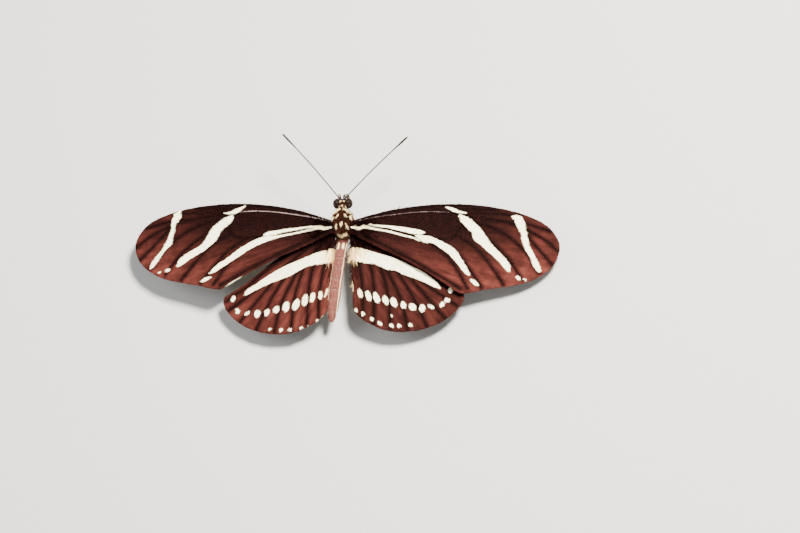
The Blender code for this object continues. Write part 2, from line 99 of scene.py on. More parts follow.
# The studio: a plain pale floor, a broad key light from the right front and two weaker soft lights.
# The sky gives an even pale fill.
def soft_light(name, place, size, watts, colour):
    lamp = bpy.data.lights.new(name, "AREA")
    lamp.shape = "DISK"
    lamp.size = size
    lamp.energy = watts
    lamp.color = colour
    light = added(name, lamp)
    light.location = place
    light.rotation_euler = (-Vector(place)).to_track_quat("-Z", "Y").to_euler()


soft_light("key", (0.20, 0.10, 0.44), 0.12, 14.5, (1.0, 0.97, 0.90))
soft_light("fill", (-0.38, 0.05, 0.30), 0.30, 1.6, (0.95, 0.97, 1.0))
soft_light("back", (0.10, -0.45, 0.22), 0.20, 0.8, (1.0, 0.96, 0.93))
sky = bpy.data.worlds.new("sky")
sky.use_nodes = True
sky.node_tree.nodes["Background"].inputs["Color"].default_value = (0.86, 0.90, 0.95, 1.0)
sky.node_tree.nodes["Background"].inputs["Strength"].default_value = 0.40
bpy.context.scene.world = sky


def new_material(name):
    """A new material, its nodes, its shader, and the place on the object that its patterns use."""
    material = bpy.data.materials.new(name)
    material.use_nodes = True
    tree = material.node_tree
    place = joined(tree, "ShaderNodeTexCoord", {}).outputs["Object"]
    return material, tree, tree.nodes["Principled BSDF"], place


def joined(tree, kind, inputs, **settings):
    """A new node with its settings. Each input is a number, a colour or another node's output."""
    node = tree.nodes.new(kind)
    for key, value in settings.items():
        setattr(node, key, value)
    for socket, given in inputs.items():
        if isinstance(given, bpy.types.NodeSocket):
            tree.links.new(given, node.inputs[socket])
        else:
            node.inputs[socket].default_value = given
    return node


def made(tree, kind, inputs, **settings):
    """The first output of a new node."""
    return joined(tree, kind, inputs, **settings).outputs[0]


def reckoned(tree, operation, *values):
    """The output of a sum on numbers or outputs."""
    return made(tree, "ShaderNodeMath", dict(enumerate(values)), operation=operation)


def eased(tree, value, low, high, start=0.0, end=1.0):
    """A smooth change from start to end as the value passes from low to high."""
    values = {"Value": value, "From Min": low, "From Max": high, "To Min": start, "To Max": end}
    return made(tree, "ShaderNodeMapRange", values, interpolation_type="SMOOTHSTEP")


def scaled(colour, by):
    return tuple(by * part for part in colour)


def tinted(tree, share, first, second):
    """A colour between two others."""
    values = {0: share}
    for socket, colour in ((6, first), (7, second)):
        values[socket] = (*colour, 1.0) if isinstance(colour, tuple) else colour
    return joined(tree, "ShaderNodeMix", values, data_type="RGBA").outputs[2]


def mottle(tree, place, scale, detail=3.0, roughness=0.55):
    """A cloudy pattern from 0 to 1, with so many marks to each unit of the place."""
    values = {"Vector": place, "Scale": scale, "Detail": detail, "Roughness": roughness}
    return joined(tree, "ShaderNodeTexNoise", values).outputs["Fac"]


def written(tree, name, output="Fac"):
    """A value that is written on the mesh."""
    return joined(tree, "ShaderNodeAttribute", {}, attribute_name=name).outputs[output]


def coloured(tree, shader, colour, roughness, gloss):
    tree.links.new(colour, shader.inputs["Base Color"])
    shader.inputs["Roughness"].default_value = roughness
    shader.inputs["Specular IOR Level"].default_value = gloss


def raised(tree, shader, height, distance, strength):
    values = {"Height": height, "Distance": distance, "Strength": strength}
    tree.links.new(made(tree, "ShaderNodeBump", values), shader.inputs["Normal"])


floor_reach = 1.5
mesh = bpy.data.meshes.new("floor")
corners = [(x * floor_reach, y * floor_reach, 0.0) for x, y in ((-1, -1), (1, -1), (1, 1), (-1, 1))]
mesh.from_pydata(corners, [], [(0, 1, 2, 3)])
floor = added("floor", mesh)
paper, tree, shader, place = new_material("pale_paper")
grain = tinted(tree, mottle(tree, place, 900.0), (0.46, 0.455, 0.44), (0.49, 0.485, 0.47))
coloured(tree, shader, grain, 0.85, 0.5)
mesh.materials.append(paper)


# The wings: thin dry membranes stiffened by veins, scaled on both faces. Each is one sheet cut along its
# margin, arched over the back, with its veins raised and the cells between them a little sunk.
wing_reach = 42.0
wing_slope = math.tan(math.radians(2.5))
forewing_lift, hindwing_lift = 1.25, 0.10
forewing_turn, hindwing_turn = math.radians(3.0), math.radians(1.5)
forewing_sag, hindwing_sag = {"left": 2.5, "right": 4.2}, 4.2
forewing_twist = {"left": math.radians(8.0), "right": 0.0}
twist_reach, twist_axis_slope = 30.0, 0.09
rim_inset = 0.26
sheet_step = 0.30
sheet_half, rim_thinning = 0.05, 0.6
beside_vein, clear_of_vein, clear_of_rim = (-0.34, -0.17, 0.17, 0.34), 0.45, 0.12
vein_rise, vein_half, vein_thinning, vein_flattening = 0.10, 0.26, 0.12, 0.45
cell_sink, vein_blend, rim_blend = 0.16, 1.1, 0.8
far_off = 9.0

# The lie of the scales and hairs: they fan out from the root, and at the rim they turn outwards
fan_middle, fan_spread, fan_droop = (1.0, -1.5), 16.0, 0.12
fringe, fringe_reach, fringe_pull = 0.20, 0.5, 2.5
longest_scale = 0.43
root_reach, root_fade = 6.5, 3.0
inner_edge, inner_rear, inner_front = 2.9, -13.0, -3.0

# The colours of the wings that differ from their cream and dark scales, and how much painted sheen each wing
# has
root_yellow, vein_shade, stem_glint_tone = (0.90, 0.62, 0.25), (0.30, 0.24, 0.15), (0.26, 0.19, 0.175)
# A painted glint: a pale highlight line painted along each forewing's front stem vein in the stem colour
# above, with its half width on each side; the hindwings have none
stem_glint, no_stem_glint = {"left": 0.08, "right": 0.05}, -1.0
forewing_side_sheen, hindwing_side_sheen = {"left": 0.95, "right": 1.15}, {"left": 1.1, "right": 0.60}

forewing_margin = (
    (0.9, 0.5), (2.2, 0.6), (6.5, 2.0), (11.0, 3.2), (18.0, 4.3), (25.0, 4.6), (31.0, 4.1),
    (36.0, 3.0), (40.0, 1.2), (42.2, -1.2), (42.9, -3.6), (42.2, -6.4), (40.3, -8.8),
    (37.2, -10.8), (33.5, -12.0), (29.0, -12.9), (25.3, -13.8), (23.4, -13.7), (20.0, -11.6),
    (13.5, -7.9), (7.0, -4.9), (2.4, -2.6), (0.9, -2.3),
)
hindwing_margin = (
    (0.9, -0.9), (2.0, -1.0), (7.0, -2.8), (13.0, -6.2), (18.5, -10.4), (22.6, -12.9),
    (24.2, -14.0), (24.2, -15.6), (23.3, -17.2), (20.8, -19.6), (17.4, -21.3), (13.3, -22.2),
    (9.4, -22.0), (6.4, -20.9), (3.8, -19.3), (2.4, -17.2), (2.1, -13.5), (1.8, -9.0),
    (1.5, -5.0), (1.3, -3.0), (0.9, -2.8),
)
forewing_veins = (
    ((1.6, -0.1), (5.0, 0.7), (8.0, 1.35), (14.8, 2.4), (20.0, 2.6), (24.0, 2.25)),
    ((24.0, 2.25), (30.5, 1.4), (35.0, 0.4)),
    ((1.6, -0.5), (5.3, -0.75), (10.0, -1.65), (14.8, -2.5), (18.5, -2.8), (21.3, -2.7), (22.4, -1.9)),
    ((24.0, 2.25), (23.7, 1.4), (23.4, 0.2), (22.4, -1.9)),
    ((3.0, 0.6), (6.0, 1.5), (10.0, 2.45), (15.5, 3.4), (21.5, 3.95), (25.6, 4.1)),
    ((17.0, 2.55), (24.0, 3.4), (30.4, 3.6)),
    ((21.5, 2.5), (29.0, 2.75), (34.8, 2.65)),
    ((30.5, 1.4), (36.0, 1.0), (40.8, -0.2)),
    ((35.0, 0.4), (39.5, -1.9), (42.5, -4.3)),
    ((35.0, 0.4), (37.6, -2.9), (41.2, -6.8)),
    ((23.7, 1.4), (30.0, -0.3), (35.3, -3.9), (38.8, -8.7)),
    ((23.4, 0.2), (28.5, -2.4), (32.6, -6.0), (35.6, -10.3)),
    ((22.4, -1.9), (26.2, -4.2), (29.3, -7.6), (32.1, -11.5)),
    ((18.5, -2.7), (22.4, -5.2), (25.0, -8.2), (27.9, -12.2)),
    ((14.8, -2.4), (18.8, -4.6), (22.4, -8.0), (25.2, -12.6)),
    ((1.6, -1.5), (7.0, -3.8), (14.0, -7.2), (20.5, -10.8), (23.8, -12.7)),
)
hindwing_veins = (
    ((1.6, -1.7), (6.0, -4.2), (10.4, -7.4), (16.5, -12.2), (22.8, -16.6)),
    ((1.6, -2.2), (5.0, -5.0), (7.4, -7.9), (9.2, -9.9)),
    ((10.4, -7.4), (10.3, -8.6), (9.2, -9.9)),
    ((3.0, -1.9), (7.0, -3.6), (13.5, -7.6), (19.5, -12.2), (23.4, -14.7)),
    ((10.4, -7.4), (15.5, -13.3), (20.3, -18.9)),
    ((10.3, -8.6), (14.0, -14.6), (17.0, -20.6)),
    ((9.2, -9.9), (11.9, -15.6), (13.3, -21.4)),
    ((7.4, -7.9), (9.3, -14.5), (9.9, -21.2)),
    ((5.0, -5.0), (6.4, -12.5), (6.7, -20.2)),
    ((1.7, -2.6), (3.4, -8.0), (4.3, -14.0), (4.4, -18.7)),
)

# The pale marks, which differ a little between the sides. A streak is a middle line of places, out and
# forwards, with half a width at each. A spot is out, forwards, half length, half width and turn.
forewing_streaks = {"left": (
    ((33.9, 3.2, 0.25), (34.2, 2.3, 0.75), (34.7, 1.0, 0.6), (34.9, 0.1, 0.28), (34.9, -1.0, 0.37),
     (35.3, -2.4, 0.45), (35.5, -3.5, 0.63), (36.3, -4.6, 0.36), (36.8, -5.4, 0.3), (37.8, -7.0, 0.45),
     (38.5, -8.1, 0.38), (39.0, -8.9, 0.1)),
    ((20.1, 3.8, 0.1), (21.0, 3.2, 0.33), (22.2, 2.6, 0.38), (23.3, 2.4, 0.2), (24.4, 2.4, 0.04)),
    ((22.7, 1.6, 0.35), (23.4, 0.9, 0.75), (24.6, 0.0, 0.85), (25.7, -1.1, 0.95), (26.3, -2.4, 1.05),
     (27.0, -3.5, 0.92), (28.3, -4.8, 0.7), (30.3, -6.0, 0.66), (31.8, -7.0, 0.66), (32.8, -8.0, 0.5),
     (33.2, -8.5, 0.15)),
    ((3.6, -0.9, 0.1), (7.0, -1.05, 0.17), (9.0, -1.3, 0.22), (11.0, -1.55, 0.28), (13.0, -1.9, 0.36),
     (14.9, -2.25, 0.4), (15.6, -2.5, 0.1)),
    ((4.0, -1.2, 0.13), (6.0, -1.5, 0.15), (8.0, -1.9, 0.14), (10.0, -2.3, 0.15), (12.0, -2.65, 0.2),
     (13.7, -3.0, 0.3), (15.3, -3.3, 0.5), (17.2, -4.0, 0.6), (19.1, -5.0, 0.62), (20.5, -6.0, 0.64),
     (21.9, -7.0, 0.57), (23.2, -8.0, 0.52), (24.7, -9.0, 0.5), (25.7, -9.8, 0.35), (26.2, -10.2, 0.1)),
    ((2.0, -1.0, 0.12), (2.9, -1.3, 0.25), (4.0, -1.4, 0.14)),
    ((19.6, -11.0, 0.04), (21.3, -12.05, 0.09), (22.9, -13.1, 0.05)),
), "right": (
    ((33.4, 2.3, 0.3), (34.2, 2.0, 0.68), (34.8, 1.0, 0.82), (35.2, 0.0, 0.65), (35.6, -1.2, 0.58),
     (35.9, -2.5, 0.53), (36.3, -3.7, 0.47), (37.1, -5.0, 0.42), (37.7, -6.2, 0.47), (38.2, -7.2, 0.5),
     (38.8, -8.2, 0.36), (39.1, -8.7, 0.15)),
    ((20.2, 3.65, 0.1), (21.1, 3.4, 0.22), (22.0, 3.0, 0.27), (23.1, 2.7, 0.2), (24.3, 2.55, 0.05)),
    ((23.1, 2.0, 0.3), (24.0, 1.2, 0.75), (25.4, 0.0, 0.85), (26.4, -1.0, 0.9), (26.9, -2.0, 1.1),
     (27.8, -2.9, 0.88), (28.8, -4.0, 0.78), (30.1, -5.1, 0.68), (31.1, -6.1, 0.62), (32.0, -7.0, 0.64),
     (32.7, -8.0, 0.56), (33.0, -8.8, 0.15)),
    ((5.1, -0.4, 0.08), (7.0, -0.6, 0.15), (8.5, -0.7, 0.2), (10.5, -0.95, 0.33), (12.5, -1.25, 0.42),
     (13.9, -1.5, 0.48), (15.4, -1.65, 0.38), (16.3, -1.7, 0.12)),
    ((4.0, -0.9, 0.3), (5.6, -1.1, 0.2), (7.2, -1.4, 0.16), (8.6, -1.6, 0.17), (10.6, -2.0, 0.16),
     (12.6, -2.5, 0.16), (14.0, -2.8, 0.14), (15.4, -3.35, 0.12), (16.8, -3.6, 0.15)),
    ((14.7, -2.4, 0.12), (15.4, -2.6, 0.38), (16.4, -2.9, 0.55), (17.3, -3.05, 0.62), (18.4, -3.4, 0.5),
     (19.7, -4.05, 0.6), (21.3, -5.0, 0.7), (22.4, -6.0, 0.68), (23.3, -7.1, 0.6), (24.0, -8.1, 0.5),
     (24.7, -9.1, 0.46), (25.4, -9.9, 0.15)),
    ((1.9, -1.0, 0.12), (2.9, -1.2, 0.28), (3.7, -1.3, 0.2)),
)}
forewing_spots = {"left": (
    (27.0, -11.5, 1.1, 0.34, 156), (35.2, -9.3, 0.5, 0.33, 155), (36.9, -9.7, 0.28, 0.2, 155),
), "right": (
    (26.5, -11.4, 1.0, 0.35, 141), (34.9, -10.0, 0.6, 0.33, 130), (36.1, -10.2, 0.3, 0.2, 130),
)}
hindwing_streaks = {"left": (
    ((0.8, -6.2, 1.2), (3.0, -6.5, 1.32), (5.0, -6.9, 1.12), (7.0, -7.4, 0.93), (9.0, -8.3, 1.0),
     (11.0, -9.2, 1.1), (13.0, -10.0, 0.95), (15.0, -10.9, 0.75), (17.0, -12.0, 0.55), (18.8, -12.95, 0.47),
     (19.7, -13.7, 0.12)),
    ((3.25, -14.9, 0.08), (2.95, -13.8, 0.17), (2.65, -12.7, 0.08)),
), "right": (
    ((0.8, -6.0, 1.2), (3.0, -6.2, 1.35), (5.0, -6.7, 1.22), (7.0, -7.2, 1.08), (9.0, -7.95, 1.27),
     (11.0, -8.5, 1.1), (13.0, -9.5, 1.05), (15.0, -10.3, 0.9), (17.0, -11.4, 0.72), (18.5, -12.4, 0.48),
     (19.4, -13.0, 0.15)),
    ((2.45, -13.8, 0.06), (2.25, -12.6, 0.14), (2.1, -11.5, 0.06)),
)}
hindwing_spots = {"left": (
    (4.1, -14.3, 0.85, 0.42, 95), (5.7, -14.7, 1.0, 0.47, 98), (7.2, -15.2, 1.1, 0.6, 98),
    (9.0, -16.1, 1.15, 0.6, 108), (11.0, -16.4, 1.0, 0.65, 98), (13.0, -16.9, 0.75, 0.6, 112),
    (14.9, -17.4, 0.7, 0.45, 108), (16.9, -17.6, 0.75, 0.62, 95), (19.0, -17.4, 0.6, 0.3, 150),
    (21.0, -16.8, 0.6, 0.38, 63), (22.0, -14.3, 0.62, 0.38, 118), (3.6, -18.8, 0.25, 0.2, 110),
    (4.6, -19.5, 0.35, 0.28, 110), (6.5, -20.4, 0.3, 0.24, 130), (7.8, -20.8, 0.34, 0.22, 0),
    (10.1, -21.1, 0.4, 0.35, 0), (11.9, -21.1, 0.42, 0.32, 0), (14.2, -20.8, 0.4, 0.22, 0),
), "right": (
    (3.8, -14.1, 0.95, 0.45, 110), (5.4, -14.6, 1.05, 0.5, 112), (7.0, -15.0, 1.05, 0.55, 112),
    (8.8, -15.5, 0.95, 0.55, 118), (10.4, -15.9, 0.95, 0.6, 110), (12.3, -16.5, 0.72, 0.5, 105),
    (14.1, -16.9, 0.75, 0.62, 130), (16.0, -17.1, 0.75, 0.6, 88), (17.7, -16.8, 0.65, 0.33, 151),
    (19.8, -16.3, 0.6, 0.38, 52), (20.8, -15.4, 0.48, 0.4, 20), (21.4, -13.5, 0.55, 0.38, 95),
    (3.1, -17.6, 0.4, 0.3, 115), (4.5, -18.4, 0.45, 0.33, 110), (6.3, -19.4, 0.45, 0.33, 130),
    (7.8, -20.2, 0.45, 0.35, 140), (10.1, -20.7, 0.42, 0.33, 0), (11.6, -20.7, 0.4, 0.36, 0),
    (13.8, -20.5, 0.38, 0.32, 0), (10.1, -18.7, 0.3, 0.15, 90),
)}


def smooth_line(points, step):
    """Places about one step apart on a smooth curve through the given ones."""
    given = np.array(points, float)
    ends = np.vstack((2.0 * given[0] - given[1], given, 2.0 * given[-1] - given[-2]))
    found = []
    for a, b, c, d in zip(ends, ends[1:], ends[2:], ends[3:]):
        count = max(1, round(float(np.linalg.norm(c - b)) / step))
        for t in np.arange(count) / count:
            bend = (2.0 * a - 5.0 * b + 4.0 * c - d) * t * t + (3.0 * b - a - 3.0 * c + d) * t ** 3
            found.append(0.5 * (2.0 * b + (c - a) * t + bend))
    found.append(given[-1])
    return np.array(found)


def gap_to(places, line):
    """How far each place is from a line, and the share of the line at which it passes nearest."""
    start, span = line[:-1], line[1:] - line[:-1]
    share = ((places[:, None] - start) * span).sum(2) / (span ** 2).sum(1)
    share = np.clip(share, 0.0, 1.0)
    gaps = np.linalg.norm(places[:, None] - (start + share[..., None] * span), axis=2)
    nearest = gaps.argmin(1)
    rows = np.arange(len(places))
    return gaps[rows, nearest], (nearest + share[rows, nearest]) / len(span)


def within(places, loop):
    x, y = places[:, :1], places[:, 1:]
    a, b = loop, np.roll(loop, -1, axis=0)
    rise = np.where(b[:, 1] == a[:, 1], 1.0, b[:, 1] - a[:, 1])
    crossing = (a[:, 1] > y) != (b[:, 1] > y)
    return ((x < a[:, 0] + (b[:, 0] - a[:, 0]) * (y - a[:, 1]) / rise) & crossing).sum(1) % 2 == 1


def depth_in_streak(places, streak):
    """How deep each place lies inside a streak, and below zero how far outside it."""
    line = smooth_line(streak, 0.2)
    gap, share = gap_to(places, line[:, :2])
    return np.interp(share, np.linspace(0.0, 1.0, len(line)), line[:, 2]) - gap


def depth_in_spot(places, spot):
    x, y, length, width, degrees = spot
    turn = math.radians(degrees)
    along = (places[:, 0] - x) * math.cos(turn) + (places[:, 1] - y) * math.sin(turn)
    across = (places[:, 1] - y) * math.cos(turn) - (places[:, 0] - x) * math.sin(turn)
    return (1.0 - np.sqrt((along / length) ** 2 + (across / width) ** 2)) * width


def new_object(name, places, faces, values, material):
    """A smooth mesh object in millimetres, with values written on its points."""
    mesh = bpy.data.meshes.new(name)
    mesh.from_pydata([tuple(place) for place in places], [], [tuple(face) for face in faces])
    mesh.shade_smooth()
    for key, numbers in values.items():
        numbers = np.asarray(numbers, np.float32)
        kind, field = ("FLOAT", "value") if numbers.ndim == 1 else ("FLOAT_VECTOR", "vector")
        mesh.attributes.new(key, kind, "POINT").data.foreach_set(field, numbers.ravel())
    mesh.materials.append(material)
    return added(name, mesh)


def finished(piece, to_world, slot, *nodes):
    """Sets a piece down in its place in the world. It rides on the body and stands for the solids named."""
    piece.data.transform(to_world)
    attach(piece, "root")
    if nodes:
        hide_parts(*nodes)


def inset(loop, away):
    """A closed loop that runs clockwise, moved inwards."""
    ahead = np.roll(loop, -1, axis=0) - np.roll(loop, 1, axis=0)
    inwards = np.stack((ahead[:, 1], -ahead[:, 0]), 1) / np.linalg.norm(ahead, axis=1)[:, None]
    return loop + inwards * away


def wing_sheet(margin, veins, streaks, spots, glint):
    """The plan of a wing: its places, triangles, and what is written on them."""
    loop = inset(smooth_line(margin, sheet_step), rim_inset)
    lines = [smooth_line(vein, sheet_step) for vein in veins]
    places = list(loop)
    edges = [(place, (place + 1) % len(loop)) for place in range(len(loop))]
    loose = []
    for line in lines:
        edges += [(len(places) + place, len(places) + place + 1) for place in range(len(line) - 1)]
        places += list(line)
        ahead = np.gradient(line, axis=0)
        aside = np.stack((-ahead[:, 1], ahead[:, 0]), 1) / np.linalg.norm(ahead, axis=1)[:, None]
        loose += [line[1:-1] + aside[1:-1] * away for away in beside_vein]

    # A grid of equal triangles fills the rest of the plan
    columns = np.arange(0.0, 45.0, sheet_step)
    rows = np.arange(-24.0, 6.0, sheet_step * 0.87)
    grid = np.stack(np.meshgrid(columns, rows, indexing="ij"), -1)
    grid[:, 1::2, 0] += 0.5 * sheet_step
    grid = grid.reshape(-1, 2)
    vein_gap = np.min([gap_to(grid, line)[0] for line in lines], axis=0)
    loose.append(grid[vein_gap > clear_of_vein])
    loose = np.vstack(loose)
    rim = np.vstack((loop, loop[:1]))
    free = within(loose, loop) & (gap_to(loose, rim)[0] > clear_of_rim)
    places += list(loose[free])
    spots_found, _, triangles = delaunay_2d_cdt([Vector(p) for p in places], edges, [], 0, 1e-6)[:3]
    places = np.array([tuple(spot) for spot in spots_found])
    triangles = np.array([tuple(triangle) for triangle in triangles])
    triangles = triangles[within(places[triangles].mean(1), loop)]

    vein_gap = np.full(len(places), far_off)
    vein_lift = np.zeros(len(places))
    for line in lines:
        gap, share = gap_to(places, line)
        lift = np.clip(1.0 - (gap / (vein_half - vein_thinning * share)) ** 2, 0.0, 1.0)
        vein_lift = np.maximum(vein_lift, lift * (1.0 - vein_flattening * share))
        vein_gap = np.minimum(vein_gap, gap)
    pale = np.full(len(places), -far_off)
    for streak in streaks:
        pale = np.maximum(pale, depth_in_streak(places, streak))
    for spot in spots:
        pale = np.maximum(pale, depth_in_spot(places, spot))
    # The painted glint along the front stem vein, fading towards both its ends
    stem_gap, stem_share = gap_to(places, lines[0])
    ends = 0.6 * np.clip(0.10 - stem_share, 0.0, 1.0) + 0.5 * np.clip(stem_share - 0.8, 0.0, 1.0)
    rim_gap, rim_share = gap_to(places, rim)
    values = {"pale": pale, "vein": vein_gap, "rim": rim_gap, "glint": glint - stem_gap - ends}
    outer = inset(loop, -1.0) - loop
    outwards = outer[np.round(rim_share * len(loop)).astype(int) % len(loop)]
    return places, triangles, values, vein_lift, outwards


def turned_out(places, turn):
    x = places[:, 0] * math.cos(turn) - places[:, 1] * math.sin(turn)
    return x, places[:, 0] * math.sin(turn) + places[:, 1] * math.cos(turn)


def arched(x, y, lift, sag, twist):
    """Height of the sheet: it droops outwards, and a twist raises its rear edge."""
    share = np.clip(x / twist_reach, 0.0, 1.0)
    outwards = share * share * (3.0 - 2.0 * share)
    droop = wing_slope * x + sag * (x / wing_reach) ** 2
    return lift - droop - math.tan(twist) * outwards * (y + twist_axis_slope * x)


def wing(name, plan, side, turn, lift, sag, twist, side_sheen, material):
    """A wing of one side: the plan arched over the back, with both faces and a closed rim."""
    places, triangles, values, vein_lift, outwards = plan
    rim = values["rim"]
    x, y = turned_out(places, side * -turn)
    middle = arched(x, y, lift, sag, twist) - cell_sink * (1.0 - np.exp(-(values["vein"] / vein_blend) ** 2))
    x = side * x
    middle += cell_sink * np.exp(-(rim / rim_blend) ** 2) * 0.5
    half = sheet_half * (0.5 + 0.5 * np.clip(rim / rim_thinning, 0.0, 1.0)) + vein_rise * vein_lift
    over = np.stack((x, y, middle + half), 1)
    under = np.stack((x, y, middle - half), 1)
    count = len(places)
    order = triangles if side > 0.0 else triangles[:, ::-1]
    faces = [*order, *(order[:, ::-1] + count)]
    used = {(a, b) for face in order for a, b in zip(face, np.roll(face, -1))}
    for a, b in sorted(used):
        if (b, a) not in used:
            faces += [(b, a, a + count), (b, a + count, b + count)]

    # What is written on the sheet: the same on both faces, but below, the dark scales are brown all over
    root_x, root_y = fan_middle
    from_root = places - fan_middle
    away = np.hypot(from_root[:, 0], from_root[:, 1])
    angle = np.arctan2(from_root[:, 1], from_root[:, 0])
    lie = np.stack((x - side * root_x, y - root_y, -fan_droop * np.abs(x)), 1)
    lie /= np.linalg.norm(lie, axis=1)[:, None]
    out_x, out_y = turned_out(outwards, side * -turn)
    near_rim = np.clip(1.0 - rim / fringe_reach, 0.0, 1.0)[:, None]
    lie += np.stack((side * out_x, out_y, 0.0 * out_x), 1) * near_rim * fringe_pull
    inner = (places[:, 1] > inner_rear) & (places[:, 1] < inner_front)
    one_face = {
        **values, "lie": lie, "fan": np.stack((away, angle * fan_spread, side * np.ones(count)), 1),
        "side_sheen": np.full(count, side_sheen), "cover": np.ones(count),
        "hair": np.clip((rim + fringe) / longest_scale, 0.0, 1.0),
        "inner": np.clip(inner_edge - places[:, 0], 0.0, 1.0) * inner,
        "root": np.clip((root_reach - away) / root_fade, 0.0, 1.0) * np.clip(rim / rim_thinning, 0.0, 1.0),
    }
    both = {key: np.concatenate((numbers, numbers)) for key, numbers in one_face.items()}
    plain = np.stack((places[:, 0], places[:, 1], np.zeros(count)), 1)
    both["plan"] = np.concatenate((plain, plain + (0.0, -30.0, 0.0)))
    flat = np.stack((places[:, 0] / 90.0 + 0.02, (places[:, 1] + 24.0) / 31.0, np.zeros(count)), 1)
    both["root_uv"] = np.concatenate((flat, flat + (0.5, 0.0, 0.0)))
    return new_object(name, np.concatenate((over, under)), faces, both, material)


def wing_finish(name, front_dark, sheen_brown, cream):
    """Matt scales: near black in front, browner behind and towards the tip (partly their own brown, partly a
    painted sheen), with cream marks.
    """
    material, tree, shader, place = new_material(name)
    fan = written(tree, "fan", "Vector")
    plan_x, plan_y, _ = joined(tree, "ShaderNodeSeparateXYZ", {0: written(tree, "plan", "Vector")}).outputs
    vein_gap = written(tree, "vein")
    scale_rows = made(tree, "ShaderNodeMapping", {"Vector": fan, "Scale": (4.5, 8.0, 1.0)})
    scales = joined(tree, "ShaderNodeTexVoronoi", {"Vector": scale_rows, "Scale": 1.0, "Randomness": 0.7})
    streak_rows = made(tree, "ShaderNodeMapping", {"Vector": fan, "Scale": (0.22, 1.6, 1.0)})
    streaks = mottle(tree, streak_rows, 1.0)
    clouds = mottle(tree, fan, 0.35)
    ragged = reckoned(tree, "SUBTRACT", mottle(tree, fan, 3.2, 2.0, 0.7), 0.5)
    edge = reckoned(tree, "MULTIPLY_ADD", ragged, 0.14, written(tree, "pale"))
    # The brown share: partly the scales' own brown, partly a painted sheen behind and a painted glare towards
    # the tip
    brown_and_sheen = reckoned(tree, "ADD", eased(tree, plan_y, 0.0, -13.0), eased(tree, plan_x, 24.0, 42.0, 0.0, 0.6))
    for thinner in (
        # Each wing's own share of painted sheen, which differs between the sides only as the light falls
        written(tree, "side_sheen"), eased(tree, clouds, 0.25, 0.75, 0.5, 1.0),
        eased(tree, streaks, 0.25, 0.8, 0.35, 1.0), eased(tree, vein_gap, 0.25, 0.9, 0.35, 1.0),
    ):
        brown_and_sheen = reckoned(tree, "MULTIPLY", brown_and_sheen, thinner)
    dark = tinted(tree, reckoned(tree, "MINIMUM", brown_and_sheen, 1.0), front_dark, sheen_brown)
    dark = tinted(tree, eased(tree, vein_gap, 0.34, 0.12, 0.0, 0.8), dark, scaled(front_dark, 0.6))
    flecks = made(tree, "ShaderNodeSeparateColor", {0: scales.outputs["Color"]})
    flecks = reckoned(tree, "MAXIMUM", flecks, written(tree, "tone"))
    dark = tinted(tree, eased(tree, flecks, 0.6, 1.0, 0.0, 0.08), dark, sheen_brown)
    dusty = tinted(tree, eased(tree, flecks, 0.0, 0.8), scaled(cream, 0.97), cream)
    warm = reckoned(tree, "MULTIPLY", eased(tree, plan_x, 5.5, 1.2), eased(tree, plan_y, -3.0, -5.0))
    dusty = tinted(tree, reckoned(tree, "MULTIPLY", warm, 0.85), dusty, root_yellow)
    dusty = tinted(tree, eased(tree, vein_gap, 0.16, 0.04, 0.0, 0.15), dusty, vein_shade)
    # The painted glint on the front stem vein
    dark = tinted(tree, eased(tree, written(tree, "glint"), 0.0, 0.08), dark, stem_glint_tone)
    coloured(tree, shader, tinted(tree, eased(tree, edge, -0.05, 0.03), dark, dusty), 0.75, 0.02)
    height = reckoned(tree, "MULTIPLY_ADD", scales.outputs["Distance"], -0.6, mottle(tree, place, 1800.0))
    raised(tree, shader, height, 0.03 * mm, 0.12)
    return material


# The second colour is the brown of the rear and tip, with its painted sheen
wing_scales = wing_finish("wing_scales", (0.0036, 0.0010, 0.0009), (0.098, 0.024, 0.018), (1.0, 0.93, 0.62))
wing_sheets = {}
for word, side in sides.items():
    fore = wing_sheet(
        forewing_margin, forewing_veins, forewing_streaks[word], forewing_spots[word], stem_glint[word],
    )
    hind = wing_sheet(
        hindwing_margin, hindwing_veins, hindwing_streaks[word], hindwing_spots[word], no_stem_glint,
    )
    fore_pose = (forewing_turn, forewing_lift, forewing_sag[word], forewing_twist[word], forewing_side_sheen[word])
    hind_pose = (hindwing_turn, hindwing_lift, hindwing_sag, 0.0, hindwing_side_sheen[word])
    for kind, plan, pose in (("forewing", fore, fore_pose), ("hindwing", hind, hind_pose)):
        wing_sheets[f"{kind}_{word}"] = wing(f"{kind}_sheet_{word}", plan, side, *pose, wing_scales)


# The wing scales: flat dusty tiles that overlap like shingles, rooted in both faces of each sheet with
# their tips towards the margin, where they stand out as a short fringe. Fine hairs lie over the wing
# roots. Each scale or hair takes the colour of the place where it is rooted.
patch_size = 0.003


def new_tree(name, inputs):
    """An empty tree of geometry nodes, and what it is given."""
    tree = bpy.data.node_groups.new(name, "GeometryNodeTree")
    for word, kind in inputs.items():
        tree.interface.new_socket(word, in_out="INPUT", socket_type="NodeSocket" + kind)
    tree.interface.new_socket("Made", in_out="OUTPUT", socket_type="NodeSocketGeometry")
    return tree, tree.nodes.new("NodeGroupInput").outputs


def dressed_output(tree, mesh, finish):
    """Ends a tree: the mesh in its finish is what it makes."""
    dressed = made(tree, "GeometryNodeSetMaterial", {"Geometry": mesh, "Material": finish})
    tree.links.new(dressed, tree.nodes.new("NodeGroupOutput").inputs[0])


